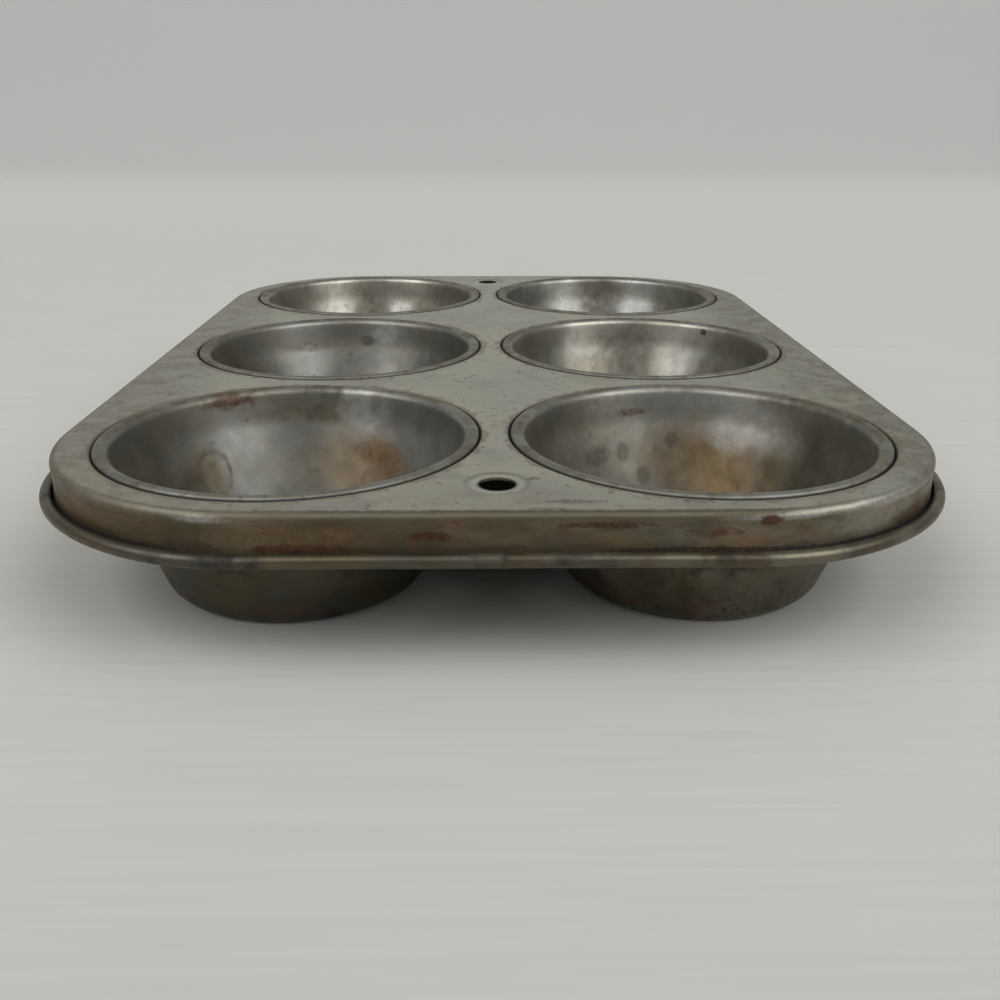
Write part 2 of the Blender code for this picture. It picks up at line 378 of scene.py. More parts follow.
class Bench:
    """Lays out shader nodes in one tree. Most methods add nodes and return an output.

    Args:
        tree: The tree of a material, a world or a group.
    """

    def __init__(self, tree: bpy.types.NodeTree) -> None:
        """Keeps the tree."""
        self.tree = tree

    def node(self, kind: str, **settings: object) -> bpy.types.Node:
        """Adds a node and sets its properties.

        Args:
            kind: The node's type name.
            settings: The properties by name.

        Returns:
            The node.
        """
        made = self.tree.nodes.new(kind)
        for name, value in settings.items():
            setattr(made, name, value)
        return made

    def plug(self, socket: Socket, source: Plug) -> None:
        """Links a source to an input, or sets the input to a constant.

        Args:
            socket: The input.
            source: An output, a number or a tuple.
        """
        if isinstance(source, Socket):
            self.tree.links.new(source, socket)
        elif isinstance(source, tuple) and socket.type == "RGBA" and len(source) == 3:
            socket.default_value = (*source, 1.0)
        else:
            socket.default_value = source

    def math(self, operation: str, first: Plug, second: Plug = 0.0) -> Socket:
        """Does arithmetic on two numbers.

        Args:
            operation: The name of the operation.
            first: The first number.
            second: The second number.

        Returns:
            The result.
        """
        made = self.node("ShaderNodeMath", operation=operation)
        self.plug(made.inputs[0], first)
        self.plug(made.inputs[1], second)
        return made.outputs[0]

    def times(self, *factors: Plug) -> Socket:
        """Multiplies numbers.

        Args:
            factors: Two numbers or more.

        Returns:
            The product.
        """
        product = factors[0]
        for factor in factors[1:]:
            product = self.math("MULTIPLY", product, factor)
        return product

    def vector(self, operation: str, first: Plug, second: Plug = (0.0, 0.0, 0.0)) -> Socket:
        """Does arithmetic on two vectors.

        Args:
            operation: The name of the operation.
            first: The first vector.
            second: The second vector.

        Returns:
            The result, a number for a length.
        """
        made = self.node("ShaderNodeVectorMath", operation=operation)
        self.plug(made.inputs[0], first)
        self.plug(made.inputs[1], second)
        return made.outputs["Value" if operation == "LENGTH" else "Vector"]

    def split(self, vector: Plug) -> tuple[Socket, Socket, Socket]:
        """Takes a vector or a colour apart.

        Args:
            vector: The vector.

        Returns:
            Its three numbers.
        """
        made = self.node("ShaderNodeSeparateXYZ")
        self.plug(made.inputs[0], vector)
        return made.outputs[0], made.outputs[1], made.outputs[2]

    def join(self, x: Plug, y: Plug, z: Plug) -> Socket:
        """Puts a vector together.

        Args:
            x: The first number.
            y: The second number.
            z: The third number.

        Returns:
            The vector.
        """
        made = self.node("ShaderNodeCombineXYZ")
        for socket, source in zip(made.inputs, (x, y, z)):
            self.plug(socket, source)
        return made.outputs[0]

    def mapping(self, vector: Plug, move: Triple) -> Socket:
        """Moves coordinates.

        Args:
            vector: The coordinates.
            move: What is added to them.

        Returns:
            The new coordinates.
        """
        made = self.node("ShaderNodeMapping")
        self.plug(made.inputs["Vector"], vector)
        made.inputs["Location"].default_value = move
        return made.outputs[0]

    def noise(
        self, vector: Plug, scale: Plug, detail: float, roughness: float, distortion: float = 0.0
    ) -> Socket:
        """Adds smooth noise.

        Args:
            vector: The coordinates.
            scale: Cells per metre of the coordinates.
            detail: How many finer layers are added.
            roughness: The strength of the finer layers.
            distortion: How far the cells are bent.

        Returns:
            A number round 0.5.
        """
        made = self.node("ShaderNodeTexNoise")
        self.plug(made.inputs["Vector"], vector)
        self.plug(made.inputs["Scale"], scale)
        made.inputs["Detail"].default_value = detail
        made.inputs["Roughness"].default_value = roughness
        made.inputs["Distortion"].default_value = distortion
        return made.outputs["Fac"]

    def rise(self, value: Plug, low: Plug, high: Plug, bottom: Plug = 0.0, top: Plug = 1.0) -> Socket:
        """Maps a number smoothly from one range to another.

        Args:
            value: The number.
            low: Where the rise starts.
            high: Where it ends.
            bottom: The result below low.
            top: The result above high.

        Returns:
            The mapped number.
        """
        made = self.node("ShaderNodeMapRange", interpolation_type="SMOOTHSTEP")
        for name, source in (
            ("Value", value),
            ("From Min", low),
            ("From Max", high),
            ("To Min", bottom),
            ("To Max", top),
        ):
            self.plug(made.inputs[name], source)
        return made.outputs["Result"]

    def fall(self, value: Plug, low: Plug, high: Plug) -> Socket:
        """Falls smoothly from 1 at low to 0 at high.

        Args:
            value: The number.
            low: Where the fall starts.
            high: Where it ends.

        Returns:
            The mapped number.
        """
        return self.rise(value, low, high, 1.0, 0.0)

    def blend(self, share: Plug, first: Plug, second: Plug) -> Socket:
        """Mixes two numbers.

        Args:
            share: 0 for the first, 1 for the second.
            first: The first number.
            second: The second number.

        Returns:
            The mix.
        """
        made = self.node("ShaderNodeMix", data_type="FLOAT")
        self.plug(made.inputs[0], share)
        self.plug(made.inputs[2], first)
        self.plug(made.inputs[3], second)
        return made.outputs[0]

    def tint(self, share: Plug, first: Plug, second: Plug) -> Socket:
        """Mixes two colours.

        Args:
            share: 0 for the first, 1 for the second.
            first: The first colour.
            second: The second colour.

        Returns:
            The mix.
        """
        made = self.node("ShaderNodeMix", data_type="RGBA")
        self.plug(made.inputs[0], share)
        self.plug(made.inputs[6], first)
        self.plug(made.inputs[7], second)
        return made.outputs[2]

    def use(self, group: bpy.types.NodeTree, **inputs: Plug) -> Outputs:
        """Places a shared node group.

        Args:
            group: The group.
            inputs: Its inputs by name, with a low line for each space.

        Returns:
            The outputs of the placed group.
        """
        made = self.node("ShaderNodeGroup", node_tree=group)
        for name, source in inputs.items():
            self.plug(made.inputs[name.replace("_", " ")], source)
        return made.outputs


class GroupBench(Bench):
    """A bench on a new shader node group with named inputs and outputs.

    Args:
        name: The group's name.
        inputs: The names of the inputs.
        outputs: The names of the outputs.
    """

    VECTORS = ("Vector", "Place", "Reach", "Lines")

    def __init__(self, name: str, inputs: tuple[str, ...], outputs: tuple[str, ...]) -> None:
        """Starts the group and its two end nodes. A socket not named in VECTORS is a number."""
        super().__init__(bpy.data.node_groups.new(name, "ShaderNodeTree"))
        for labels, side in ((inputs, "INPUT"), (outputs, "OUTPUT")):
            for label in labels:
                kind = "NodeSocketVector" if label in self.VECTORS else "NodeSocketFloat"
                self.tree.interface.new_socket(label, in_out=side, socket_type=kind)
        self.given = self.node("NodeGroupInput").outputs
        self.sink = self.node("NodeGroupOutput").inputs

    def finish(self, **results: Plug) -> bpy.types.NodeTree:
        """Plugs the results into the group's outputs.

        Args:
            results: The results by output name.

        Returns:
            The finished group.
        """
        for name, result in results.items():
            self.plug(self.sink[name], result)
        return self.tree


class Effects:
    """The node groups that several finishes share, each built once."""

    def __init__(self) -> None:
        """Builds every group."""
        self.wear = self.build_wear()
        self.band = self.build_band()
        self.islands = self.build_islands()
        self.spots = self.build_spots()
        self.stain_or_light = self.build_stain_or_light()
        self.outline = self.build_outline()
        self.holes = self.build_holes()
        self.wall = self.build_wall()

    @staticmethod
    def build_wear() -> bpy.types.NodeTree:
        """Clouds of tarnish, rubbed lines and the grain of old tin.

        Returns:
            The group.
        """
        bench = GroupBench(
            "tin_wear",
            ("Vector", "Cloud Scale", "Grain Scale", "Lines"),
            ("Cloud", "Mottle", "Grain", "Line", "Height"),
        )
        vector = bench.given["Vector"]
        cloud = bench.noise(vector, bench.given["Cloud Scale"], 4.0, 0.55, 0.4)
        shifted = bench.mapping(vector, (0.31, 0.17, 0.09))
        mottle = bench.noise(shifted, bench.times(bench.given["Cloud Scale"], 4.0), 4.0, 0.62, 0.6)
        grain = bench.noise(vector, bench.given["Grain Scale"], 3.0, 0.6)
        line = bench.noise(bench.vector("MULTIPLY", vector, bench.given["Lines"]), 1.0, 3.0, 0.65)
        rubbed = bench.rise(line, 0.42, 0.72)
        height = bench.math("ADD", bench.times(grain, 0.4), bench.times(line, 0.5))
        return bench.finish(
            Cloud=bench.rise(cloud, 0.36, 0.64),
            Mottle=bench.rise(mottle, 0.36, 0.66),
            Grain=grain,
            Line=rubbed,
            Height=height,
        )

    @staticmethod
    def build_band() -> bpy.types.NodeTree:
        """A band between two limits of any number, with soft edges.

        Returns:
            The group.
        """
        bench = GroupBench("soft_band", ("Value", "Low", "High", "Soft"), ("Mask",))
        value, low, high, soft = (bench.given[name] for name in ("Value", "Low", "High", "Soft"))
        up = bench.rise(value, bench.math("SUBTRACT", low, soft), bench.math("ADD", low, soft))
        down = bench.fall(value, bench.math("SUBTRACT", high, soft), bench.math("ADD", high, soft))
        return bench.finish(Mask=bench.times(up, down))

    @staticmethod
    def build_islands() -> bpy.types.NodeTree:
        """Ragged islands of a second surface on a first one.

        Returns:
            The group.
        """
        bench = GroupBench("ragged_islands", ("Vector", "Scale", "Level", "Soft"), ("Mask",))
        land = bench.noise(bench.given["Vector"], bench.given["Scale"], 4.0, 0.6, 0.2)
        low = bench.math("SUBTRACT", bench.given["Level"], bench.given["Soft"])
        high = bench.math("ADD", bench.given["Level"], bench.given["Soft"])
        return bench.finish(Mask=bench.rise(land, low, high))

    @staticmethod
    def build_spots() -> bpy.types.NodeTree:
        """Dried water drops of mixed sizes, each with a darker rim.

        Returns:
            The group.
        """
        bench = GroupBench("dried_drops", ("Vector", "Scale", "Rarity"), ("Disc", "Rim"))
        vector = bench.given["Vector"]
        wobble = bench.node("ShaderNodeTexNoise")
        bench.plug(wobble.inputs["Vector"], vector)
        bench.plug(wobble.inputs["Scale"], bench.times(bench.given["Scale"], 2.5))
        centred = bench.vector("SUBTRACT", wobble.outputs["Color"], (0.5, 0.5, 0.5))
        bend = bench.node("ShaderNodeVectorMath", operation="SCALE")
        bench.plug(bend.inputs[0], centred)
        bench.plug(bend.inputs["Scale"], bench.math("DIVIDE", 0.35, bench.given["Scale"]))
        cells = bench.node("ShaderNodeTexVoronoi")
        bench.plug(cells.inputs["Vector"], bench.vector("ADD", vector, bend.outputs[0]))
        bench.plug(cells.inputs["Scale"], bench.given["Scale"])
        chance, width, _ = bench.split(cells.outputs["Color"])
        radius = bench.rise(width, 0.0, 1.0, 0.10, 0.36)
        reach = bench.math("DIVIDE", cells.outputs["Distance"], radius)
        kept = bench.math("GREATER_THAN", chance, bench.given["Rarity"])
        off_edge = bench.math("ABSOLUTE", bench.math("SUBTRACT", reach, 0.88))
        return bench.finish(
            Disc=bench.times(bench.fall(reach, 0.82, 1.0), kept),
            Rim=bench.times(bench.fall(off_edge, 0.03, 0.16), kept),
        )

    @staticmethod
    def build_stain_or_light() -> bpy.types.NodeTree:
        """An oval patch with a ragged edge, a patchy middle and a darker dried rim, for real marks as well
        as for painted shade and painted highlights.

        Returns:
            The group.
        """
        bench = GroupBench(
            "oval_stain_or_light",
            ("Vector", "Place", "Reach", "Ragged", "Soft", "Patchy", "Grain Scale"),
            ("Mask", "Rim", "Grain"),
        )
        vector = bench.given["Vector"]
        offset = bench.vector("SUBTRACT", vector, bench.given["Place"])
        distance = bench.vector("LENGTH", bench.vector("DIVIDE", offset, bench.given["Reach"]))
        torn = bench.noise(vector, bench.given["Grain Scale"], 4.0, 0.65)
        ragged = bench.times(bench.math("SUBTRACT", torn, 0.5), bench.given["Ragged"])
        edge = bench.math("ADD", distance, ragged)
        inner = bench.math("SUBTRACT", 1.0, bench.given["Soft"])
        outer = bench.math("ADD", 1.0, bench.given["Soft"])
        fine = bench.noise(vector, bench.times(bench.given["Grain Scale"], 1.3), 3.0, 0.6, 0.4)
        holes = bench.blend(bench.given["Patchy"], 1.0, bench.rise(fine, 0.30, 0.66))
        off_edge = bench.math("ABSOLUTE", bench.math("SUBTRACT", edge, 0.88))
        return bench.finish(
            Mask=bench.times(bench.fall(edge, inner, outer), holes),
            Rim=bench.times(bench.fall(off_edge, 0.02, 0.22), holes),
            Grain=bench.rise(fine, 0.30, 0.70),
        )

    @staticmethod
    def build_outline() -> bpy.types.NodeTree:
        """Distance from the pan's inner core, and how far round a corner a point is.

        Returns:
            The group.
        """
        bench = GroupBench(
            "outline_distance", ("Vector", "Core X", "Core Y"), ("Distance", "Corner")
        )
        x, y, _ = bench.split(bench.given["Vector"])
        over_x = bench.math("SUBTRACT", bench.math("ABSOLUTE", x), bench.given["Core X"])
        over_y = bench.math("SUBTRACT", bench.math("ABSOLUTE", y), bench.given["Core Y"])
        over_x = bench.math("MAXIMUM", over_x, 0.0)
        over_y = bench.math("MAXIMUM", over_y, 0.0)
        least = bench.math("MINIMUM", over_x, over_y)
        return bench.finish(
            Distance=bench.vector("LENGTH", bench.join(over_x, over_y, 0.0)),
            Corner=bench.rise(least, 0.5 * MM, 20.0 * MM),
        )

    @staticmethod
    def build_holes() -> bpy.types.NodeTree:
        """Distance from the middle of the nearest cup.

        Returns:
            The group.
        """
        bench = GroupBench("cup_distance", ("Vector", "Half Pitch"), ("Distance",))
        x, y, _ = bench.split(bench.given["Vector"])
        half = bench.given["Half Pitch"]
        across = bench.math("SUBTRACT", bench.math("ABSOLUTE", x), half)
        along = bench.math("PINGPONG", y, half)
        return bench.finish(Distance=bench.vector("LENGTH", bench.join(across, along, 0.0)))

    @staticmethod
    def build_wall() -> bpy.types.NodeTree:
        """Coordinates on a round wall: the length from its far middle, and the height.

        Returns:
            The group.
        """
        bench = GroupBench(
            "wall_coordinates", ("Vector", "Wall Radius"), ("Vector", "Distance", "Height", "Near")
        )
        x, y, z = bench.split(bench.given["Vector"])
        along = bench.times(bench.math("ARCTAN2", x, y), bench.given["Wall Radius"])
        return bench.finish(
            Vector=bench.join(along, z, 0.0),
            Distance=bench.vector("LENGTH", bench.join(x, y, 0.0)),
            Height=z,
            Near=bench.fall(y, -30.0 * MM, 5.0 * MM),
        )


@dataclass(frozen=True)
class StainOrPaintedLight:
    """One patch of colour on a surface, in the coordinates of that surface: a real mark of use, painted
    shade or a painted highlight.

    Attributes:
        place: Its middle.
        reach: Its half size along each axis.
        tone: Its colour.
        strength: How strongly it covers, from 0 to 1.
        ragged: How torn its edge is.
        soft: How soft its edge is.
        patchy: How much of its middle is missing.
        rim: True to colour only its dried rim.
        dull: How much of the metal's shine it takes, from 0 to 1.
    """

    place: Triple
    reach: Triple
    tone: Tone
    strength: float = 0.8
    ragged: float = 1.6
    soft: float = 0.25
    patchy: float = 0.5
    rim: bool = False
    dull: float = 0.4

    def grain_scale(self) -> float:
        """Gives the grains per metre of its torn edge, finer ones for a smaller patch."""
        least, second, _ = sorted(self.reach)
        return 1.2 / math.sqrt(least * second)


@dataclass
class Coat:
    """The state of a finish while its layers are put on.

    Attributes:
        bench: The bench of the material.
        effects: The shared node groups.
        color: The base colour so far.
        roughness: The roughness so far.
        metallic: The metallic value so far.
        height: The height for the bump so far.
    """

    bench: Bench
    effects: Effects
    color: Plug
    roughness: Plug
    metallic: Plug
    height: Plug

    def cover(
        self,
        mask: Plug,
        color: Plug | Tone,
        roughness: float | None = None,
        metallic: float | None = None,
    ) -> None:
        """Lays a colour over the coat where a mask is.

        Args:
            mask: Where the layer lies, from 0 to 1.
            color: The layer's colour.
            roughness: The layer's roughness, or None to keep what is there.
            metallic: The layer's metallic value, or None to keep what is there.
        """
        over = color.value if isinstance(color, Tone) else color
        self.color = self.bench.tint(mask, self.color, over)
        if roughness is not None:
            self.roughness = self.bench.blend(mask, self.roughness, roughness)
        if metallic is not None:
            self.metallic = self.bench.blend(mask, self.metallic, metallic)

    def islands(
        self,
        vector: Plug,
        tone: Tone,
        share: Plug,
        scale: float,
        level: float,
        soft: float,
        roughness: float,
        metallic: float | None = None,
    ) -> None:
        """Lays ragged islands over the coat.

        Args:
            vector: The surface's coordinates.
            tone: The islands' colour.
            share: How strongly they cover.
            scale: Islands per metre.
            level: The height of the noise at the shores.
            soft: The softness of the shores.
            roughness: Their roughness.
            metallic: Their metallic value, or None to keep what is there.
        """
        placed = self.bench.use(
            self.effects.islands, Vector=vector, Scale=scale, Level=level, Soft=soft
        )
        self.cover(self.bench.times(placed["Mask"], share), tone, roughness, metallic)

    def mark(self, vector: Plug, stains_and_light: tuple[StainOrPaintedLight, ...]) -> None:
        """Lays a list of patches over the coat: real marks, painted shade and painted highlights.

        Args:
            vector: The surface's coordinates.
            stains_and_light: The patches.
        """
        for stain_or_light in stains_and_light:
            placed = self.bench.use(
                self.effects.stain_or_light,
                Vector=vector,
                Place=stain_or_light.place,
                Reach=stain_or_light.reach,
                Ragged=stain_or_light.ragged,
                Soft=stain_or_light.soft,
                Patchy=stain_or_light.patchy,
                Grain_Scale=stain_or_light.grain_scale(),
            )
            mask = self.bench.times(placed["Rim" if stain_or_light.rim else "Mask"], stain_or_light.strength)
            dark = tuple(channel * 0.5 for channel in stain_or_light.tone.value)
            color = self.bench.tint(placed["Grain"], stain_or_light.tone.value, dark)
            self.cover(mask, color, 0.40 + 0.35 * stain_or_light.dull, 1.0 - stain_or_light.dull)


class Finish:
    """Common ground of the finishes: a material with a Principled BSDF under one coat."""

    @staticmethod
    def start(
        name: str, effects: Effects, clouds: float, grains: float, lines: Triple = (1.0, 1.0, 1.0)
    ) -> tuple[Bench, Socket, Outputs]:
        """Starts a material.

        Args:
            name: The material's name.
            effects: The shared node groups.
            clouds: Clouds of tarnish per metre.
            grains: Grains per metre.
            lines: Rubbed lines per metre along each axis.

        Returns:
            A bench on the material's tree, the object coordinates and the wear of the metal.
        """
        material = bpy.data.materials.new(name)
        material.use_nodes = True
        bench = Bench(material.node_tree)
        place = bench.node("ShaderNodeTexCoord").outputs["Object"]
        wear = bench.use(
            effects.wear, Vector=place, Cloud_Scale=clouds, Grain_Scale=grains, Lines=lines
        )
        return bench, place, wear

    @staticmethod
    def finish(name: str, coat: Coat, relief: float) -> bpy.types.Material:
        """Plugs a coat into the shader of a material.

        Args:
            name: The material's name.
            coat: The finished coat.
            relief: The height of the bump.

        Returns:
            The material.
        """
        material = bpy.data.materials[name]
        shader = material.node_tree.nodes["Principled BSDF"]
        bump = coat.bench.node("ShaderNodeBump")
        bump.inputs["Strength"].default_value = 1.0
        bump.inputs["Distance"].default_value = relief
        coat.bench.plug(bump.inputs["Height"], coat.height)
        coat.bench.plug(shader.inputs["Base Color"], coat.color)
        coat.bench.plug(shader.inputs["Roughness"], coat.roughness)
        coat.bench.plug(shader.inputs["Metallic"], coat.metallic)
        coat.bench.plug(shader.inputs["Normal"], bump.outputs["Normal"])
        return material


@dataclass(frozen=True)
class PanSizes:
    """Driving sizes of the pan, on the middle surface of each sheet.

    Attributes:
        pitch: From one cup's middle to the next.
        deck: Height of the deck's middle surface.
        core_x: Half the width of the outline's core, where the corners have their centres.
        core_y: Half its length.
        skirt_radius: Radius of the outline's corners at the skirt.
        wire_height: Height of the wire's middle.
        wire_offset: From the skirt's middle surface to the wire's middle.
        curl_radius: Radius of the curl round the wire.
        wire_radius: Radius of the wire.
        sheet: Gauge of the sheet.
        flare: Height of the collars' flares, which the cups' hooks go round.
        hang_hole_y: From the pan's middle to a hanging hole.
        rim_waves: Height of the waves in the rolled rim.
        rim_wave_width: Width of those waves.
        facets: Steps round a cup or a collar.
        side_steps: Edges along each long side.
        end_steps: Edges along each short side.
        corner_steps: Edges round each corner of the outline.
    """

    pitch: float = 82.0 * MM
    deck: float = 30.1 * MM
    core_x: float = 41.0 * MM
    core_y: float = 79.4 * MM
    skirt_radius: float = 46.1 * MM
    wire_height: float = 22.3 * MM
    wire_offset: float = 1.55 * MM
    curl_radius: float = 1.1 * MM
    wire_radius: float = 0.6 * MM
    sheet: float = 0.4 * MM
    flare: float = 27.5 * MM
    hang_hole_y: float = 111.5 * MM
    rim_waves: float = 0.40 * MM
    rim_wave_width: float = 30.0 * MM
    facets: int = 144
    side_steps: int = 40
    end_steps: int = 24
    corner_steps: int = 32

    def centres(self) -> dict[str, Vector]:
        """Gives the middle of each cup on the ground.

        Returns:
            The places by the cup's node name.
        """
        rows = {"front": -self.pitch, "middle": 0.0, "back": self.pitch}
        columns = {"left": -self.pitch / 2.0, "right": self.pitch / 2.0}
        return {
            f"cup_{row}_{column}": Vector((x, y, 0.0))
            for row, y in rows.items()
            for column, x in columns.items()
        }

    def beyond_core(self, point: Vector) -> float:
        """Measures how far a point lies from the outline's core.

        Args:
            point: A point of the pan.

        Returns:
            The level distance, which is the skirt's radius on the skirt.
        """
        over_x = max(0.0, abs(point.x) - self.core_x)
        over_y = max(0.0, abs(point.y) - self.core_y)
        return math.hypot(over_x, over_y)

    def rim_share(self, point: Vector) -> float:
        """Gives the rolled rim and its wire their waves, faded out up the skirt.

        Args:
            point: A point of the plate or the wire.

        Returns:
            The share of the waves' height there.
        """
        if self.beyond_core(point) < self.skirt_radius - 1.0 * MM:
            return 0.0
        return 1.0 - smooth_step(point.z, 23.4 * MM, 27.0 * MM)

    def wave_rim(self, obj: bpy.types.Object) -> None:
        """Gives the rolled rim or its wire the waves that the two share.

        Args:
            obj: The plate's sheet or the wire.
        """
        dent(obj, self.rim_waves, self.rim_wave_width, self.rim_share, Push.UP_DOWN)

    def sweep_outline(self) -> None:
        """Takes the chain in edit mode once round the pan, side by side and corner by corner.

        The chain starts at the front end of the right side, at its distance from the core.
        """
        x, y = self.core_x, self.core_y
        along, across = 2.0 * y / self.side_steps, 2.0 * x / self.end_steps
        legs = (
            ((0.0, along, 0.0), self.side_steps, (x, y, 0.0)),
            ((-across, 0.0, 0.0), self.end_steps, (-x, y, 0.0)),
            ((0.0, -along, 0.0), self.side_steps, (-x, -y, 0.0)),
            ((across, 0.0, 0.0), self.end_steps, (x, -y, 0.0)),
        )
        for step, count, corner in legs:
            for _ in range(count):
                extrude(step)
            bpy.ops.mesh.spin(steps=self.corner_steps, angle=QUARTER, center=corner, axis=UPRIGHT)
        weld()


@dataclass(frozen=True)
class CupInside(Finish):
    """Tin inside a cup: grey, fogged and stained by baking, with painted shade on the side walls and in the
    groove, and painted highlights.

    Attributes:
        tin: The barer metal.
        fog: The tarnished metal in soft clouds.
        warm: The brown bloom of baked fat.
        roughness: The roughness of the barer metal.
        relief: The height of the bump.
        bloom: How much of the wall the brown bloom takes, from 0 to 1.
        shine: How much the cleaner islands cover, from 0 to 1.
        dirt: How much the dull islands cover, from 0 to 1.
        stains_and_light: The marks of this cup, with painted shade on its side walls and painted highlights
            where the windows reflect.
        bead_start: Radius where the worn bead begins.
        groove_start: Radius where the groove outside the bead begins, darkened by grime and painted shade.
        neck: Heights between which the neck below the bead is browned.
    """

    tin: Tone = Tone.TIN
    fog: Tone = Tone.SHADE_TIN
    warm: Tone = Tone.WARM_TIN
    roughness: float = 0.30
    relief: float = 0.05 * MM
    bloom: float = 0.45
    shine: float = 0.45
    dirt: float = 0.6
    stains_and_light: tuple[StainOrPaintedLight, ...] = ()
    bead_start: float = 35.2 * MM
    groove_start: float = 37.55 * MM
    neck: Point = (22.6 * MM, 24.9 * MM)

    def make(self, name: str, centre: Vector, effects: Effects) -> bpy.types.Material:
        """Builds the material.

        Args:
            name: The material's name.
            centre: The middle of the cup.
            effects: The shared node groups.

        Returns:
            The material.
        """
        bench, place, wear = self.start(name, effects, 50.0, 900.0)
        local = bench.mapping(place, tuple(-centre))
        wall = bench.use(effects.wall, Vector=local, Wall_Radius=WALL_RADIUS)
        height, distance = wall["Height"], wall["Distance"]
        drawn = bench.vector("MULTIPLY", wall["Vector"], (1500.0, 60.0, 1.0))
        streaks = bench.noise(drawn, 1.0, 3.0, 0.6)
        base = bench.tint(wear["Cloud"], self.tin.value, self.fog.value)
        roughness = bench.blend(wear["Mottle"], self.roughness, self.roughness + 0.10)
        coat = Coat(bench, effects, base, roughness, 1.0, wear["Height"])

        low = bench.fall(height, 4.0 * MM, 22.0 * MM)
        bloom = bench.times(wear["Mottle"], bench.blend(low, 0.5, 1.0), self.bloom)
        coat.cover(bloom, self.warm, 0.42)
        coat.cover(bench.times(bench.rise(streaks, 0.45, 0.75), 0.3), Tone.DULL_TIN, 0.42)
        clouds, flecks = self.dirt * 0.6, self.dirt * 0.7
        coat.islands(place, Tone.TIN, self.shine, scale=95.0, level=0.53, soft=0.09, roughness=0.34)
        coat.islands(place, Tone.OLIVE_TIN_AND_SHADE, clouds, scale=70.0, level=0.53, soft=0.10, roughness=0.46)
        coat.islands(place, Tone.DULL_TIN, clouds, scale=170.0, level=0.56, soft=0.07, roughness=0.46)
        coat.islands(
            place, Tone.DARK_SPOT, flecks, scale=260.0, level=0.66, soft=0.04, roughness=0.5, metallic=0.8
        )
        drops = bench.use(effects.spots, Vector=place, Scale=130.0, Rarity=0.8)
        coat.cover(bench.times(drops["Disc"], 0.06), Tone.BRIGHT_TIN_AND_HIGHLIGHT, 0.38)
        coat.cover(bench.times(drops["Rim"], 0.3), Tone.DULL_TIN, 0.5)

        inside_bead = bench.fall(distance, self.bead_start + 0.1 * MM, self.bead_start + 0.8 * MM)
        neck_low, neck_high = self.neck
        neck = bench.use(
            effects.band, Value=height, Low=neck_low, High=neck_high, Soft=1.4 * MM
        )["Mask"]
        coat.cover(bench.times(neck, wear["Mottle"], inside_bead, 0.4), Tone.OLIVE_TIN_AND_SHADE, 0.48)
        above = bench.times(bench.rise(height, 23.0 * MM, 25.0 * MM), inside_bead)
        coat.cover(bench.times(above, wear["Cloud"], 0.5), Tone.DULL_TIN, 0.42)

        bead = bench.rise(distance, self.bead_start, self.bead_start + 0.6 * MM)
        coat.cover(bench.times(bead, 0.9), Tone.WORN_TIN, 0.52)
        dull = bench.times(bead, bench.blend(wall["Near"], 0.9, 0.5))
        coat.islands(place, Tone.OLIVE_TIN_AND_SHADE, dull, scale=120.0, level=0.50, soft=0.07, roughness=0.6)
        brown = bench.times(bead, 0.5)
        coat.islands(place, Tone.BAKED_BROWN, brown, scale=260.0, level=0.58, soft=0.05, roughness=0.6)
        coat.mark(wall["Vector"], self.stains_and_light)
        # Grime and painted shade in the groove between bead and plate
        grimy_shaded_groove = bench.rise(distance, self.groove_start, self.groove_start + 0.3 * MM)
        coat.cover(grimy_shaded_groove, Tone.GRIME_AND_SHADE, 0.7, 0.2)
        coat.height = bench.math("ADD", coat.height, bench.times(streaks, 0.3))
        return self.finish(name, coat, self.relief)


@dataclass(frozen=True)
class OvenSide(Finish):
    """Tin on the oven side: browned all over by baked-on fat, rusty at the foot.

    Attributes:
        roughness: The main roughness.
        relief: The height of the bump.
        foot: Heights between which the rust of the cups' feet fades out.
    """

    roughness: float = 0.42
    relief: float = 0.08 * MM
    foot: Point = (3.0 * MM, 13.0 * MM)

    def make(self, name: str, effects: Effects) -> bpy.types.Material:
        """Builds the material.

        Args:
            name: The material's name.
            effects: The shared node groups.

        Returns:
            The material.
        """
        bench, place, wear = self.start(name, effects, 60.0, 700.0)
        along_x, _, height = bench.split(place)
        base = bench.tint(wear["Cloud"], Tone.OLIVE_BROWN_AND_SHADE.value, Tone.DARK_SPOT.value)
        coat = Coat(bench, effects, base, self.roughness, 0.9, wear["Height"])
        coat.islands(place, Tone.BAKED_BROWN, 0.5, scale=130.0, level=0.55, soft=0.10, roughness=0.36)
        coat.islands(place, Tone.GRIME_AND_SHADE, 0.8, scale=90.0, level=0.58, soft=0.06, roughness=0.6, metallic=0.4)
        low = bench.fall(height, *self.foot)
        damp = bench.rise(along_x, -20.0 * MM, 30.0 * MM, 0.25, 1.0)
        rusty = bench.times(bench.blend(low, 0.1, 0.9), damp)
        grey = bench.times(damp, 0.8)
        coat.islands(place, Tone.OLIVE_TIN_AND_SHADE, grey, scale=80.0, level=0.50, soft=0.10, roughness=0.4)
        coat.islands(
            place, Tone.RUST, rusty, scale=330.0, level=0.57, soft=0.03, roughness=0.75, metallic=0.2
        )
        coat.islands(
            place, Tone.DARK_RUST, rusty, scale=700.0, level=0.62, soft=0.03, roughness=0.7, metallic=0.3
        )
        return self.finish(name, coat, self.relief)


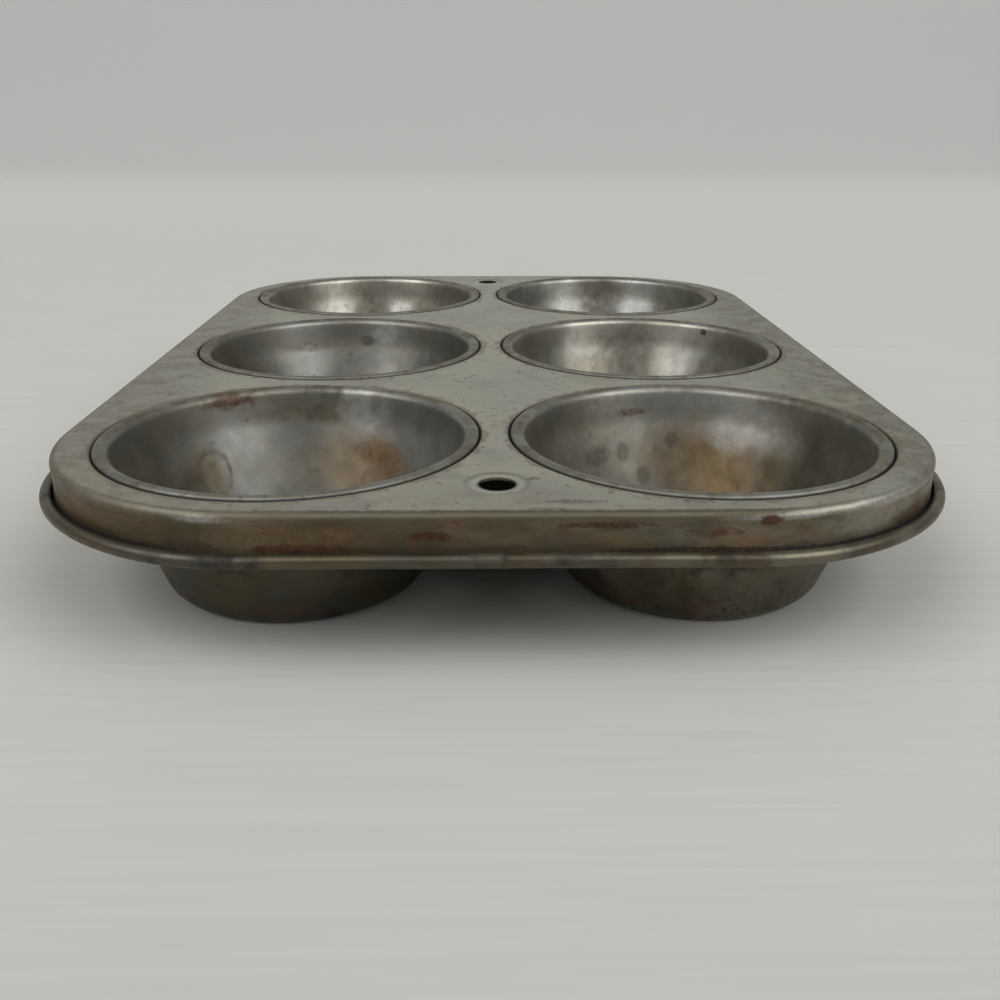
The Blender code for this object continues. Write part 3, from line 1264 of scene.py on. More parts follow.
@dataclass(frozen=True)
class PlateTop(Finish):
    """Tin of the plate: a sandy grey deck, a browned skirt, worn bends with painted highlights, and grooves
    darkened by grime and painted shade.

    Attributes:
        sizes: The pan's sizes.
        stains_and_light: The marks on the deck and the skirt, with painted highlights on the bends.
        roughness: The roughness of the deck.
        relief: The height of the bump.
        seam: Radius round a cup's middle where the deck bends down into the seam.
        ring: Radius round a hanging hole's middle where the dirt round its ring begins.
        skirt_top: Height where the brown of the skirt begins to fade.
        rim_top: Height where the brown of the rolled rim begins to fade.
    """

    sizes: PanSizes
    stains_and_light: tuple[StainOrPaintedLight, ...] = ()
    roughness: float = 0.40
    relief: float = 0.05 * MM
    seam: float = 38.7 * MM
    ring: float = 5.1 * MM
    skirt_top: float = 28.5 * MM
    rim_top: float = 23.2 * MM

    def make(self, name: str, effects: Effects) -> bpy.types.Material:
        """Builds the material.

        Args:
            name: The material's name.
            effects: The shared node groups.

        Returns:
            The material.
        """
        bench, place, wear = self.start(name, effects, 42.0, 800.0, (70.0, 900.0, 900.0))
        along_x, along_y, height = bench.split(place)
        sizes = self.sizes
        outline = bench.use(
            effects.outline, Vector=place, Core_X=sizes.core_x, Core_Y=sizes.core_y
        )
        edge, corner = outline["Distance"], outline["Corner"]
        base = bench.tint(wear["Cloud"], Tone.SAND_TIN.value, Tone.TIN.value)
        coat = Coat(bench, effects, base, self.roughness, 1.0, wear["Height"])

        around = bench.times(bench.rise(edge, 30.0 * MM, 43.0 * MM), 0.35)
        beside = bench.rise(bench.math("ABSOLUTE", along_x), 58.0 * MM, 80.0 * MM)
        margin = bench.math("MAXIMUM", around, beside)
        shady = bench.rise(along_x, 0.0, 75.0 * MM)
        edging = bench.tint(shady, Tone.DULL_TIN.value, Tone.OLIVE_TIN_AND_SHADE.value)
        coat.cover(bench.times(margin, bench.blend(wear["Mottle"], 0.4, 0.85)), edging, 0.45)
        coat.cover(bench.times(wear["Line"], 0.15), Tone.DULL_TIN)
        coat.islands(place, Tone.DULL_TIN, 0.3, scale=80.0, level=0.54, soft=0.12, roughness=0.48)
        coat.islands(
            place, Tone.OLIVE_BROWN_AND_SHADE, 0.55, scale=480.0, level=0.64, soft=0.03, roughness=0.55, metallic=0.7
        )
        drops = bench.use(effects.spots, Vector=place, Scale=90.0, Rarity=0.8)
        coat.cover(bench.times(drops["Rim"], 0.35), Tone.DULL_TIN, 0.5)
        self.lay_seam_rust(coat, place)
        self.lay_hanging_rings(coat, along_x, along_y)
        self.lay_skirt(coat, place, along_x, height, outline, wear)
        coat.mark(place, self.stains_and_light)

        # Grime and painted shade in the crevice between skirt and curl, stronger round the corners
        trough = bench.use(
            effects.band,
            Value=edge,
            Low=sizes.skirt_radius - 0.2 * MM,
            High=sizes.skirt_radius + 1.0 * MM,
            Soft=0.2 * MM,
        )["Mask"]
        below_skirt = bench.fall(height, self.rim_top + 0.1 * MM, self.rim_top + 1.0 * MM)
        grimy_shaded_groove = bench.times(trough, below_skirt)
        coat.cover(bench.times(grimy_shaded_groove, bench.blend(corner, 0.25, 1.0)), Tone.GRIME_AND_SHADE, 0.8, 0.1)
        wavy = bench.times(wear["Cloud"], 4.0)
        coat.height = bench.math("ADD", coat.height, wavy)
        return self.finish(name, coat, self.relief)

    def lay_seam_rust(self, coat: Coat, place: Plug) -> None:
        """Lays the thin brown line that creeps out of each cup's seam, and grime with painted shade at the
        seam's edge.

        Args:
            coat: The coat so far.
            place: The object coordinates.
        """
        bench = coat.bench
        from_cup = bench.use(
            coat.effects.holes, Vector=place, Half_Pitch=self.sizes.pitch / 2.0
        )["Distance"]
        creep = bench.noise(place, 190.0, 4.0, 0.65)
        reach = bench.rise(creep, 0.35, 0.75, self.seam + 0.2 * MM, self.seam + 2.3 * MM)
        line = bench.fall(from_cup, bench.math("SUBTRACT", reach, 0.6 * MM), reach)
        coat.cover(bench.times(line, 0.6), Tone.BAKED_BROWN, 0.6, 0.5)
        # Grime and painted shade where the deck dips into the seam
        inside = bench.fall(from_cup, self.seam - 0.5 * MM, self.seam)
        coat.cover(inside, Tone.GRIME_AND_SHADE, 0.7, 0.2)

    def lay_hanging_rings(self, coat: Coat, along_x: Plug, along_y: Plug) -> None:
        """Lays the worn ring and the dirt round each hanging hole.

        Args:
            coat: The coat so far.
            along_x: The place across the pan.
            along_y: The place along the pan.
        """
        bench = coat.bench
        off_y = bench.math("SUBTRACT", bench.math("ABSOLUTE", along_y), self.sizes.hang_hole_y)
        away = bench.vector("LENGTH", bench.join(along_x, off_y, 0.0))
        worn = bench.fall(away, self.ring - 0.5 * MM, self.ring + 0.1 * MM)
        coat.cover(bench.times(worn, 0.3), Tone.BRIGHT_TIN_AND_HIGHLIGHT, 0.36)
        dirt = bench.use(
            coat.effects.band, Value=away, Low=self.ring, High=self.ring + 0.9 * MM, Soft=0.35 * MM
        )["Mask"]
        coat.cover(bench.times(dirt, 0.35), Tone.OLIVE_TIN_AND_SHADE, 0.5)
        lip = bench.fall(away, self.ring - 1.7 * MM, self.ring - 1.2 * MM)
        coat.cover(bench.times(lip, 0.8), Tone.OLIVE_BROWN_AND_SHADE, 0.5)

    def lay_skirt(
        self,
        coat: Coat,
        place: Plug,
        along_x: Plug,
        height: Plug,
        outline: Outputs,
        wear: Outputs,
    ) -> None:
        """Lays the baked patina of the skirt, the bend above it and the rolled rim.

        Args:
            coat: The coat so far.
            place: The object coordinates.
            along_x: The place across the pan.
            height: The height.
            outline: The distance from the core, and how far round a corner a point is.
            wear: The wear of the plate.
        """
        bench = coat.bench
        edge, corner = outline["Distance"], outline["Corner"]
        brown = bench.tint(wear["Cloud"], Tone.BAKED_BROWN.value, Tone.OLIVE_BROWN_AND_SHADE.value)
        greyer = bench.rise(along_x, -60.0 * MM, 45.0 * MM, 0.0, 0.4)
        patina = bench.tint(greyer, brown, Tone.DULL_TIN.value)
        bare_bend = bench.times(corner, bench.rise(along_x, -60.0 * MM, 20.0 * MM, 0.2, 0.75))
        streaky = bench.vector("MULTIPLY", place, (0.4, 0.4, 1.3))
        waver = bench.times(bench.math("SUBTRACT", wear["Grain"], 0.5), 0.9 * MM)
        skirt = bench.fall(
            bench.math("ADD", height, waver), self.skirt_top, self.skirt_top + 1.0 * MM
        )
        skirt_radius = self.sizes.skirt_radius
        bend = bench.rise(
            bench.math("ADD", edge, waver), skirt_radius - 1.4 * MM, skirt_radius - 0.5 * MM
        )
        dulled = bench.times(bend, bench.math("SUBTRACT", 1.0, bare_bend))
        coat.cover(bench.times(dulled, 0.85), Tone.OLIVE_BROWN_AND_SHADE, 0.55)
        coat.cover(bench.times(skirt, 0.92), patina, 0.42)
        warm, olive, rusty = (bench.times(skirt, share) for share in (0.5, 0.6, 0.8))
        coat.islands(
            streaky, Tone.ORANGE_BROWN, warm, scale=150.0, level=0.54, soft=0.1, roughness=0.5, metallic=0.8
        )
        coat.islands(streaky, Tone.OLIVE_BROWN_AND_SHADE, olive, scale=260.0, level=0.54, soft=0.10, roughness=0.5)
        coat.islands(
            streaky, Tone.RUST, rusty, scale=420.0, level=0.63, soft=0.04, roughness=0.65, metallic=0.4
        )
        rolled = bench.fall(height, self.rim_top, self.rim_top + 0.6 * MM)
        browner = bench.rise(along_x, -30.0 * MM, 40.0 * MM, 0.3, 0.75)
        coat.cover(bench.times(rolled, browner), Tone.BAKED_BROWN, 0.42)


@dataclass(frozen=True)
class WireSteel(Finish):
    """Dull drawn steel, freckled with rust.

    Attributes:
        roughness: The roughness of the bare wire.
        relief: The height of the bump.
    """

    roughness: float = 0.45
    relief: float = 0.03 * MM

    def make(self, name: str, effects: Effects) -> bpy.types.Material:
        """Builds the material.

        Args:
            name: The material's name.
            effects: The shared node groups.

        Returns:
            The material.
        """
        bench, place, wear = self.start(name, effects, 120.0, 1500.0)
        coat = Coat(bench, effects, Tone.DULL_TIN.value, self.roughness, 1.0, wear["Height"])
        coat.islands(
            place, Tone.RUST, 0.9, scale=300.0, level=0.50, soft=0.06, roughness=0.75, metallic=0.2
        )
        return self.finish(name, coat, self.relief)


@dataclass
class Cup:
    """A drawn cup: flat bottom, tapered wall, steeper neck, round bead and the seam's hook.

    Attributes:
        name: The cup's node name.
        centre: Its middle on the ground.
        sizes: The pan's sizes.
        inside: The finish inside.
        neck_depth: From the deck's top down to the break between wall and neck.
        neck_taper: Lean of the neck.
        wall_taper: Lean of the wall.
        break_radius: Radius between wall and neck.
        bottom_corner: Radius between bottom and wall.
        lip_radius: Radius of the lip's middle surface.
        bead_outer: Radius of the bead's outer half.
        bead_inner: Radius of its inner half.
        crown: Height of the bead's middle surface.
        hook_radius: Radius of the hook's middle surface.
        hook_inner: Radius where the hook ends.
        hook_bend: Radius of the hook's bends.
        layer: From the plate's flare to the hook, middle to middle.
        foot_clearance: From the ground to the bottom, a hair.
        dent_depth: Height of the waves that dent the wall.
        dent_width: Width of those waves.
    """

    name: str
    centre: Vector
    sizes: PanSizes
    inside: CupInside
    neck_depth: float = 6.6 * MM
    neck_taper: float = math.radians(11.0)
    wall_taper: float = math.radians(19.4)
    break_radius: float = 24.0 * MM
    bottom_corner: float = 4.8 * MM
    lip_radius: float = 37.75 * MM
    bead_outer: float = 1.0 * MM
    bead_inner: float = 1.8 * MM
    crown: float = 30.6 * MM
    hook_radius: float = 40.15 * MM
    hook_inner: float = 38.95 * MM
    hook_bend: float = 0.35 * MM
    layer: float = 0.7 * MM
    foot_clearance: float = 0.005 * MM
    dent_depth: float = 0.22 * MM
    dent_width: float = 16.0 * MM

    def draw_profile(self) -> Pen:
        """Draws half of the cup's section, from the middle of its bottom to the hook's end.

        Returns:
            The pen, with the section in edit mode.
        """
        floor = self.sizes.sheet / 2.0 + self.foot_clearance
        crown_radius = self.lip_radius - self.bead_outer
        inner_centre = (crown_radius, self.crown - self.bead_inner)
        outer_centre = (crown_radius, self.crown - self.bead_outer)
        neck_top = (
            inner_centre[0] - self.bead_inner * math.cos(self.neck_taper),
            inner_centre[1] + self.bead_inner * math.sin(self.neck_taper),
        )
        break_height = self.sizes.deck + floor - self.neck_depth
        neck_rise = neck_top[1] - break_height
        wall_break = (neck_top[0] - neck_rise * math.tan(self.neck_taper), break_height)
        corner_height = floor + self.bottom_corner
        wall_rise = break_height - corner_height
        wall_foot = wall_break[0] - wall_rise * math.tan(self.wall_taper)
        flat_radius = wall_foot - self.bottom_corner / math.cos(self.wall_taper)

        pen = Pen(self.name, (0.0, floor))
        pen.line((flat_radius * 0.5, floor), 2)
        pen.line((flat_radius, floor), 4)
        pen.arc((flat_radius, corner_height), QUARTER - self.wall_taper, 10)
        below_break = Vector(pen.at).lerp(Vector(wall_break), 0.9)
        pen.line(tuple(below_break), 9)
        pen.fold(wall_break, neck_top, self.break_radius, 8)
        pen.line(neck_top, 4)
        pen.arc(inner_centre, self.neck_taper - QUARTER, 8)
        pen.arc(outer_centre, -QUARTER, 8)
        low, high = self.sizes.flare - self.layer, self.sizes.flare + self.layer
        pen.line((self.lip_radius, high), 2)
        pen.fold((self.lip_radius, low), (self.hook_radius, low), self.hook_bend)
        pen.fold((self.hook_radius, low), (self.hook_radius, high), self.hook_bend)
        pen.fold((self.hook_radius, high), (self.hook_inner, high), self.hook_bend)
        pen.line((self.hook_inner, high))
        return pen

    def build_pattern(self) -> bpy.types.Object:
        """Makes the open sheet of a cup, standing on the origin.

        Returns:
            The sheet, facing up.
        """
        pattern = self.draw_profile().turn_round(self.sizes.facets)
        face_up(pattern)
        pattern.name = "cup_pattern"
        return pattern

    def dent_share(self, point: Vector) -> float:
        """Keeps the dents to the wall, clear of the bottom and the bead.

        Args:
            point: A point of the cup's surface.

        Returns:
            The share of the dents' depth there.
        """
        above_bottom = smooth_step(point.z, 2.0 * MM, 7.0 * MM)
        into_bead = smooth_step(point.z, 26.0 * MM, 28.5 * MM)
        return above_bottom * (1.0 - into_bead)

    def build(
        self, effects: Effects, outside: bpy.types.Material, pattern: bpy.types.Object
    ) -> bpy.types.Object:
        """Sets a copy of the pattern in place and finishes it.

        Args:
            effects: The shared node groups.
            outside: The finish of the oven side.
            pattern: The open sheet that every cup is copied from.

        Returns:
            The finished cup.
        """
        cup = pattern.copy()
        cup.data = pattern.data.copy()
        cup.name = f"{self.name}_tin"
        bpy.context.scene.collection.objects.link(cup)
        cup.data.transform(Matrix.Translation(self.centre))
        dent(cup, self.dent_depth, self.dent_width, self.dent_share)
        cup.data.materials.append(self.inside.make(f"{self.name}_inside", self.centre, effects))
        cup.data.materials.append(outside)
        give_thickness(cup, self.sizes.sheet)
        shade_smooth(cup)
        settle(cup, self.name)
        return cup


@dataclass
class TopPlate:
    """The plate: a deck with six seam collars and two hanging holes, a skirt and a wired curl.

    Attributes:
        sizes: The pan's sizes.
        finish: The finish of the upper side.
        deck_bend: Radius between deck and skirt.
        collar_radius: Radius of a collar's middle surface, pressed close to the cup.
        hole_bend: Radius between deck and collar.
        flare_end: Radius where the flare ends.
        flare_bend: Radius between collar and flare.
        hang_radius: Radius of a hanging hole.
        hang_ring: Radius of the pressed ring round it.
        hang_slope: Width of the slope down to the ring.
        hang_depth: Depth of the ring.
        hang_bend: Radius of the ring's bends.
        hang_facets: Steps round a hanging hole.
        curl_end: Angle where the curl ends.
        lap: Flat rim between the deck's filling and a bend.
        dent_depth: Height of the waves that dent the skirt.
        dent_width: Width of those waves.
    """

    sizes: PanSizes
    finish: PlateTop
    deck_bend: float = 1.25 * MM
    collar_radius: float = 38.25 * MM
    hole_bend: float = 0.5 * MM
    flare_end: float = 39.65 * MM
    flare_bend: float = 0.35 * MM
    hang_radius: float = 3.3 * MM
    hang_ring: float = 5.0 * MM
    hang_slope: float = 0.9 * MM
    hang_depth: float = 0.25 * MM
    hang_bend: float = 0.6 * MM
    hang_facets: int = 64
    curl_end: float = math.radians(130.0)
    lap: float = 0.6 * MM
    dent_depth: float = 0.35 * MM
    dent_width: float = 22.0 * MM

    def build_skirt(self) -> bpy.types.Object:
        """Draws the edge's section and takes it round the pan.

        Returns:
            The open strip from the deck's rim to the end of the curl.
        """
        sizes = self.sizes
        skirt = sizes.core_x + sizes.skirt_radius
        bend_centre = (skirt - self.deck_bend, sizes.deck - self.deck_bend)
        wire = (skirt + sizes.wire_offset, sizes.wire_height)
        foot_height = sizes.wire_height - sizes.curl_radius + sizes.wire_offset
        pen = Pen("top_plate_tin", (bend_centre[0] - self.lap, sizes.deck))
        pen.line((bend_centre[0], sizes.deck))
        pen.arc(bend_centre, -QUARTER, 8)
        pen.line((skirt, foot_height), 5)
        pen.arc((wire[0], foot_height), QUARTER, 6)
        pen.arc(wire, QUARTER + self.curl_end, 16)
        select_mesh()
        bpy.ops.transform.translate(value=(0.0, -sizes.core_y, 0.0))
        sizes.sweep_outline()
        leave_edit()
        return pen.obj

    def build_collar(self, centre: Vector) -> bpy.types.Object:
        """Makes the turned-down collar of one hole.

        Args:
            centre: The middle of the hole.

        Returns:
            The open ring.
        """
        deck, flare = self.sizes.deck, self.sizes.flare
        bend = (self.collar_radius + self.hole_bend, deck - self.hole_bend)
        pen = Pen("collar", (bend[0] + self.lap, deck))
        pen.line((bend[0], deck))
        pen.arc(bend, QUARTER, 6)
        halfway = deck - 1.6 * MM
        pen.line((self.collar_radius, halfway))
        pen.fold((self.collar_radius, flare), (self.flare_end, flare), self.flare_bend)
        pen.line((self.flare_end, flare))
        collar = pen.turn_round(self.sizes.facets)
        collar.data.transform(Matrix.Translation(centre))
        return collar

    def build_hanging_hole(self, centre: Vector) -> bpy.types.Object:
        """Makes the pressed ring of one hanging hole.

        Args:
            centre: The middle of the hole.

        Returns:
            The open ring.
        """
        deck = self.sizes.deck
        seat = deck - self.hang_depth
        outer = (self.hang_ring + self.hang_slope, deck)
        inner = (self.hang_ring, seat)
        pen = Pen("hanging_ring", (outer[0] + self.lap, deck))
        pen.fold(outer, inner, self.hang_bend, 4)
        pen.fold(inner, (self.hang_radius, seat), self.hang_bend, 4)
        pen.line((self.hang_radius, seat), 2)
        ring = pen.turn_round(self.hang_facets)
        ring.data.transform(Matrix.Translation(centre))
        return ring

    def fill_deck(self, plate: bpy.types.Object) -> None:
        """Fills the level sheet between the skirt's rim and the rings.

        Args:
            plate: The joined strips.
        """
        level = self.sizes.deck

        def on_deck(edge: bmesh.types.BMEdge) -> bool:
            """Finds the open edges at the deck's height."""
            return edge.is_boundary and all(abs(v.co.z - level) < WELD for v in edge.verts)

        edit(plate)
        found = select_edges(plate, on_deck)
        bpy.ops.mesh.fill(use_beauty=True)
        leave_edit()
        log.info("deck filled inside %d open edges", found)

    def skirt_share(self, point: Vector) -> float:
        """Keeps the dents to the upright skirt.

        Args:
            point: A point of the plate's surface.

        Returns:
            The share of the dents' depth there.
        """
        away = abs(self.sizes.beyond_core(point) - self.sizes.skirt_radius)
        if away > 0.3 * MM:
            return 0.0
        above_rim = smooth_step(point.z, 22.8 * MM, 24.5 * MM)
        into_bend = smooth_step(point.z, 26.8 * MM, 28.8 * MM)
        return above_rim * (1.0 - into_bend)

    def build(self, effects: Effects, underside: bpy.types.Material) -> bpy.types.Object:
        """Builds and finishes the plate.

        Args:
            effects: The shared node groups.
            underside: The finish of the oven side.

        Returns:
            The finished plate.
        """
        plate = self.build_skirt()
        rings = [self.build_collar(centre) for centre in self.sizes.centres().values()]
        for side in (-1.0, 1.0):
            hole = Vector((0.0, side * self.sizes.hang_hole_y, 0.0))
            rings.append(self.build_hanging_hole(hole))
        pick(plate)
        for ring in rings:
            ring.select_set(True)
        bpy.ops.object.join()
        self.fill_deck(plate)
        face_up(plate)
        dent(plate, self.dent_depth, self.dent_width, self.skirt_share, Push.INWARD)
        self.sizes.wave_rim(plate)
        plate.data.materials.append(self.finish.make("plate_top_side", effects))
        plate.data.materials.append(underside)
        give_thickness(plate, self.sizes.sheet)
        shade_smooth(plate)
        settle(plate, "top_plate")
        return plate


@dataclass
class RimWire:
    """The round wire inside the curled edge.

    Attributes:
        sizes: The pan's sizes.
        finish: The wire's finish.
    """

    sizes: PanSizes
    finish: WireSteel

    def build(self, effects: Effects) -> bpy.types.Object:
        """Builds and finishes the wire.

        Args:
            effects: The shared node groups.

        Returns:
            The finished wire.
        """
        sizes = self.sizes
        reach = sizes.core_x + sizes.skirt_radius + sizes.wire_offset
        deselect_all()
        bpy.ops.mesh.primitive_circle_add(
            vertices=16,
            radius=sizes.wire_radius,
            location=(reach, -sizes.core_y, sizes.wire_height),
            rotation=(QUARTER, 0.0, 0.0),
        )
        wire = bpy.context.object
        wire.name = "rim_wire_steel"
        bpy.ops.object.transform_apply(location=True, rotation=True)
        edit(wire)
        select_mesh()
        sizes.sweep_outline()
        select_mesh()
        bpy.ops.mesh.normals_make_consistent(inside=False)
        leave_edit()
        sizes.wave_rim(wire)
        wire.data.materials.append(self.finish.make("wire_drawn_steel", effects))
        shade_smooth(wire)
        settle(wire, "rim_wire")
        return wire


@dataclass(frozen=True)
class Softbox:
    """A square lamp aimed at the pan.

    Attributes:
        name: The lamp's name.
        azimuth: Where it stands, in degrees from the front, positive to the right.
        elevation: How high it stands, in degrees.
        distance: From the pan to the lamp.
        width: The lamp's width.
        height: The lamp's height.
        radiance: How bright its face is, where 1 is white paper.
    """

    name: str
    azimuth: float
    elevation: float
    distance: float
    width: float
    height: float
    radiance: float

    def build(self) -> None:
        """Hangs the lamp."""
        lamp = bpy.data.lights.new(self.name, "AREA")
        lamp.shape = "RECTANGLE"
        lamp.size = self.width
        lamp.size_y = self.height
        lamp.energy = self.radiance * math.pi * self.width * self.height
        holder = bpy.data.objects.new(self.name, lamp)
        around, up = math.radians(self.azimuth), math.radians(self.elevation)
        level = math.cos(up)
        back = Vector((math.sin(around) * level, -math.cos(around) * level, math.sin(up)))
        holder.location = back * self.distance
        holder.rotation_euler = back.to_track_quat("Z", "Y").to_euler()
        holder.visible_camera = False
        bpy.context.scene.collection.objects.link(holder)


@dataclass
class Studio:
    """Floor, backdrop, soft lamps and the camera at the photograph's place.

    Attributes:
        camera_place: The camera's place.
        yaw: Degrees that it looks to the right.
        pitch: Degrees that it looks down.
        roll: Degrees that it leans.
        focal_pixels: Focal length in pixels of a picture 1000 pixels wide.
        picture_width: That width.
        sensor: Width of the camera's sensor, in millimetres.
        dimmed_near_paper: Colour of the floor before the pan, darker than round the pan as painted shade,
            which leaves a painted pool of light round the pan.
        shade_paper: Colour of the faint brushed lines in it.
        paper: Colour of the floor at the pan.
        far_paper: Colour of the floor far behind the pan.
        shaded_foot_paper: Colour of the curve at the foot of the backdrop, darker as painted shade.
        wall_paper: Colour of the backdrop above it.
        brushing: Brushed lines per metre along each axis.
        floor_half: Half the width of the floor.
        floor_back: From the pan's middle to the floor's back edge.
        floor_bend: Radius of the curve up from there.
        wall_height: Height of the backdrop above the curve.
        room: Light of the room near the horizon.
        ceiling: Light of the room overhead.
        lamps: The soft lamps.
    """

    camera_place: Triple = (-2.87 * MM, -282.74 * MM, 92.24 * MM)
    yaw: float = 1.132
    pitch: float = 20.829
    roll: float = -0.194
    focal_pixels: float = 1037.87
    picture_width: float = 1000.0
    sensor: float = 36.0
    dimmed_near_paper: Triple = (0.445, 0.442, 0.411)
    shade_paper: Triple = (0.36, 0.357, 0.334)
    paper: Triple = (0.575, 0.570, 0.535)
    far_paper: Triple = (0.66, 0.665, 0.64)
    shaded_foot_paper: Triple = (0.565, 0.573, 0.555)
    wall_paper: Triple = (0.72, 0.72, 0.70)
    brushing: Triple = (16.0, 520.0, 80.0)
    floor_half: float = 4.0
    floor_back: float = 1.4
    floor_bend: float = 0.9
    wall_height: float = 2.2
    room: float = 0.18
    ceiling: float = 0.36
    lamps: tuple[Softbox, ...] = (
        Softbox("left_window", -41.0, 24.0, 1.8, 0.50, 1.20, 0.35),
        Softbox("right_window", 54.0, 24.0, 1.8, 0.85, 1.20, 1.0),
        Softbox("left_fill", -52.0, 46.0, 4.0, 3.20, 2.60, 2.7),
        Softbox("right_fill", 52.0, 46.0, 4.0, 3.20, 2.60, 2.7),
    )

    def build_camera(self) -> None:
        """Sets the camera by its place and its three angles."""
        yaw, pitch, roll = (math.radians(angle) for angle in (self.yaw, self.pitch, self.roll))
        level = math.cos(pitch)
        forward = Vector((math.sin(yaw) * level, math.cos(yaw) * level, -math.sin(pitch)))
        across = Vector((math.cos(yaw), -math.sin(yaw), 0.0))
        down = forward.cross(across)
        right = across * math.cos(roll) + down * math.sin(roll)
        below = down * math.cos(roll) - across * math.sin(roll)
        data = bpy.data.cameras.new("photo_camera")
        data.sensor_width = self.sensor
        data.lens = self.focal_pixels * self.sensor / self.picture_width
        data.clip_start = 0.01
        data.clip_end = 50.0
        camera = bpy.data.objects.new("photo_camera", data)
        turn = Matrix((right, -below, -forward)).transposed()
        camera.matrix_world = Matrix.Translation(self.camera_place) @ turn.to_4x4()
        bpy.context.scene.collection.objects.link(camera)
        bpy.context.scene.camera = camera

    def build_floor(self) -> None:
        """Lays a paper sweep: a level floor that curves up behind the pan."""
        half, back = self.floor_half, self.floor_back
        deselect_all()
        bpy.ops.mesh.primitive_plane_add(size=2.0 * half, location=(0.0, back - half, 0.0))
        floor = bpy.context.object
        floor.name = "paper_sweep"
        bpy.ops.object.transform_apply(location=True)

        def at_back(edge: bmesh.types.BMEdge) -> bool:
            """Finds the floor's back edge."""
            return all(abs(v.co.y - back) < WELD for v in edge.verts)

        edit(floor)
        select_edges(floor, at_back)
        centre = (0.0, back, self.floor_bend)
        bpy.ops.mesh.spin(steps=24, angle=-QUARTER, center=centre, axis=(1.0, 0.0, 0.0))
        extrude((0.0, 0.0, self.wall_height))
        leave_edit()
        face_up(floor)
        shade_smooth(floor)
        floor.data.materials.append(self.make_paper())

    def make_paper(self) -> bpy.types.Material:
        """Builds pale, faintly brushed paper, clear when it is looked at from below, darker before the pan
        and at the foot of the backdrop as painted shade.

        Returns:
            The material.
        """
        material = bpy.data.materials.new("plain_paper")
        material.use_nodes = True
        bench = Bench(material.node_tree)
        shader = material.node_tree.nodes["Principled BSDF"]
        place = bench.node("ShaderNodeTexCoord").outputs["Object"]
        _, depth, height = bench.split(place)
        brushed = bench.noise(bench.vector("MULTIPLY", place, self.brushing), 1.0, 3.0, 0.6)
        color = self.dimmed_near_paper
        for share, further in (
            # Painted light: the floor turns lighter towards the pan
            (bench.rise(depth, -0.34, -0.12), self.paper),
            (bench.rise(brushed, 0.40, 0.70, 0.0, 0.12), self.shade_paper),
            (bench.rise(depth, 0.0, 1.2), self.far_paper),
            # Painted shade: a darker band at the foot of the backdrop
            (bench.rise(depth, 0.9, 2.0), self.shaded_foot_paper),
            (bench.rise(height, 0.25, 0.6), self.wall_paper),
        ):
            color = bench.tint(share, color, further)
        bench.plug(shader.inputs["Base Color"], color)
        shader.inputs["Roughness"].default_value = 0.9
        shader.inputs["Specular IOR Level"].default_value = 0.1
        clear = bench.node("ShaderNodeBsdfTransparent")
        either = bench.node("ShaderNodeMixShader")
        bench.plug(either.inputs[0], bench.node("ShaderNodeNewGeometry").outputs["Backfacing"])
        bench.plug(either.inputs[1], shader.outputs[0])
        bench.plug(either.inputs[2], clear.outputs[0])
        bench.plug(material.node_tree.nodes["Material Output"].inputs["Surface"], either.outputs[0])
        return material

    def build_world(self) -> None:
        """Fills the room with soft light that fades to the horizon, seen by the camera as paper."""
        world = bpy.data.worlds.new("soft_room")
        world.use_nodes = True
        bpy.context.scene.world = world
        bench = Bench(world.node_tree)
        _, _, up = bench.split(bench.node("ShaderNodeTexCoord").outputs["Generated"])
        level = bench.rise(up, 0.0, 0.75, self.room, self.ceiling)
        seen = bench.node("ShaderNodeLightPath").outputs["Is Camera Ray"]
        color = bench.tint(seen, bench.join(level, level, level), self.paper)
        bench.plug(world.node_tree.nodes["Background"].inputs["Color"], color)

    def build(self) -> None:
        """Builds the whole studio."""
        self.build_camera()
        self.build_floor()
        self.build_world()
        for lamp in self.lamps:
            lamp.build()
        bpy.context.scene.view_settings.view_transform = "Standard"
        log.info("studio: %d lamps", len(self.lamps))


def on_wall(
    degrees: float, height: float, half_width: float, half_height: float, tone: Tone, **more: object
) -> StainOrPaintedLight:
    """Places a patch of colour on a cup's wall: a real mark, painted shade or a painted highlight.

    Args:
        degrees: The angle from the far middle, positive to the right.
        height: Its height, in millimetres.
        half_width: Its half width, in millimetres.
        half_height: Its half height, in millimetres.
        tone: Its colour.
        more: The patch's other values.

    Returns:
        The patch.
    """
    place = (math.radians(degrees) * WALL_RADIUS, height * MM, 0.0)
    return StainOrPaintedLight(place, (half_width * MM, half_height * MM, 1.0), tone, **more)


def on_plate(
    x: float, y: float, z: float, reach_x: float, reach_y: float, reach_z: float, tone: Tone, **more: object
) -> StainOrPaintedLight:
    """Places a patch of colour on the plate: a real mark or a painted highlight.

    Args:
        x: Its place across the pan, in millimetres.
        y: Its place along the pan, in millimetres.
        z: Its height, in millimetres.
        reach_x: Its half size across, in millimetres.
        reach_y: Its half size along, in millimetres.
        reach_z: Its half height, in millimetres.
        tone: Its colour.
        more: The patch's other values.

    Returns:
        The patch.
    """
    reach = (reach_x * MM, reach_y * MM, reach_z * MM)
    return StainOrPaintedLight((x * MM, y * MM, z * MM), reach, tone, **more)


# How two common kinds of patch look: a dried drop, and a painted highlight of bright tin
DRIED_DROP = {"strength": 0.6, "ragged": 0.9, "soft": 0.4, "patchy": 0.0}
PAINTED_HIGHLIGHT = {"soft": 0.7, "dull": 0.0}

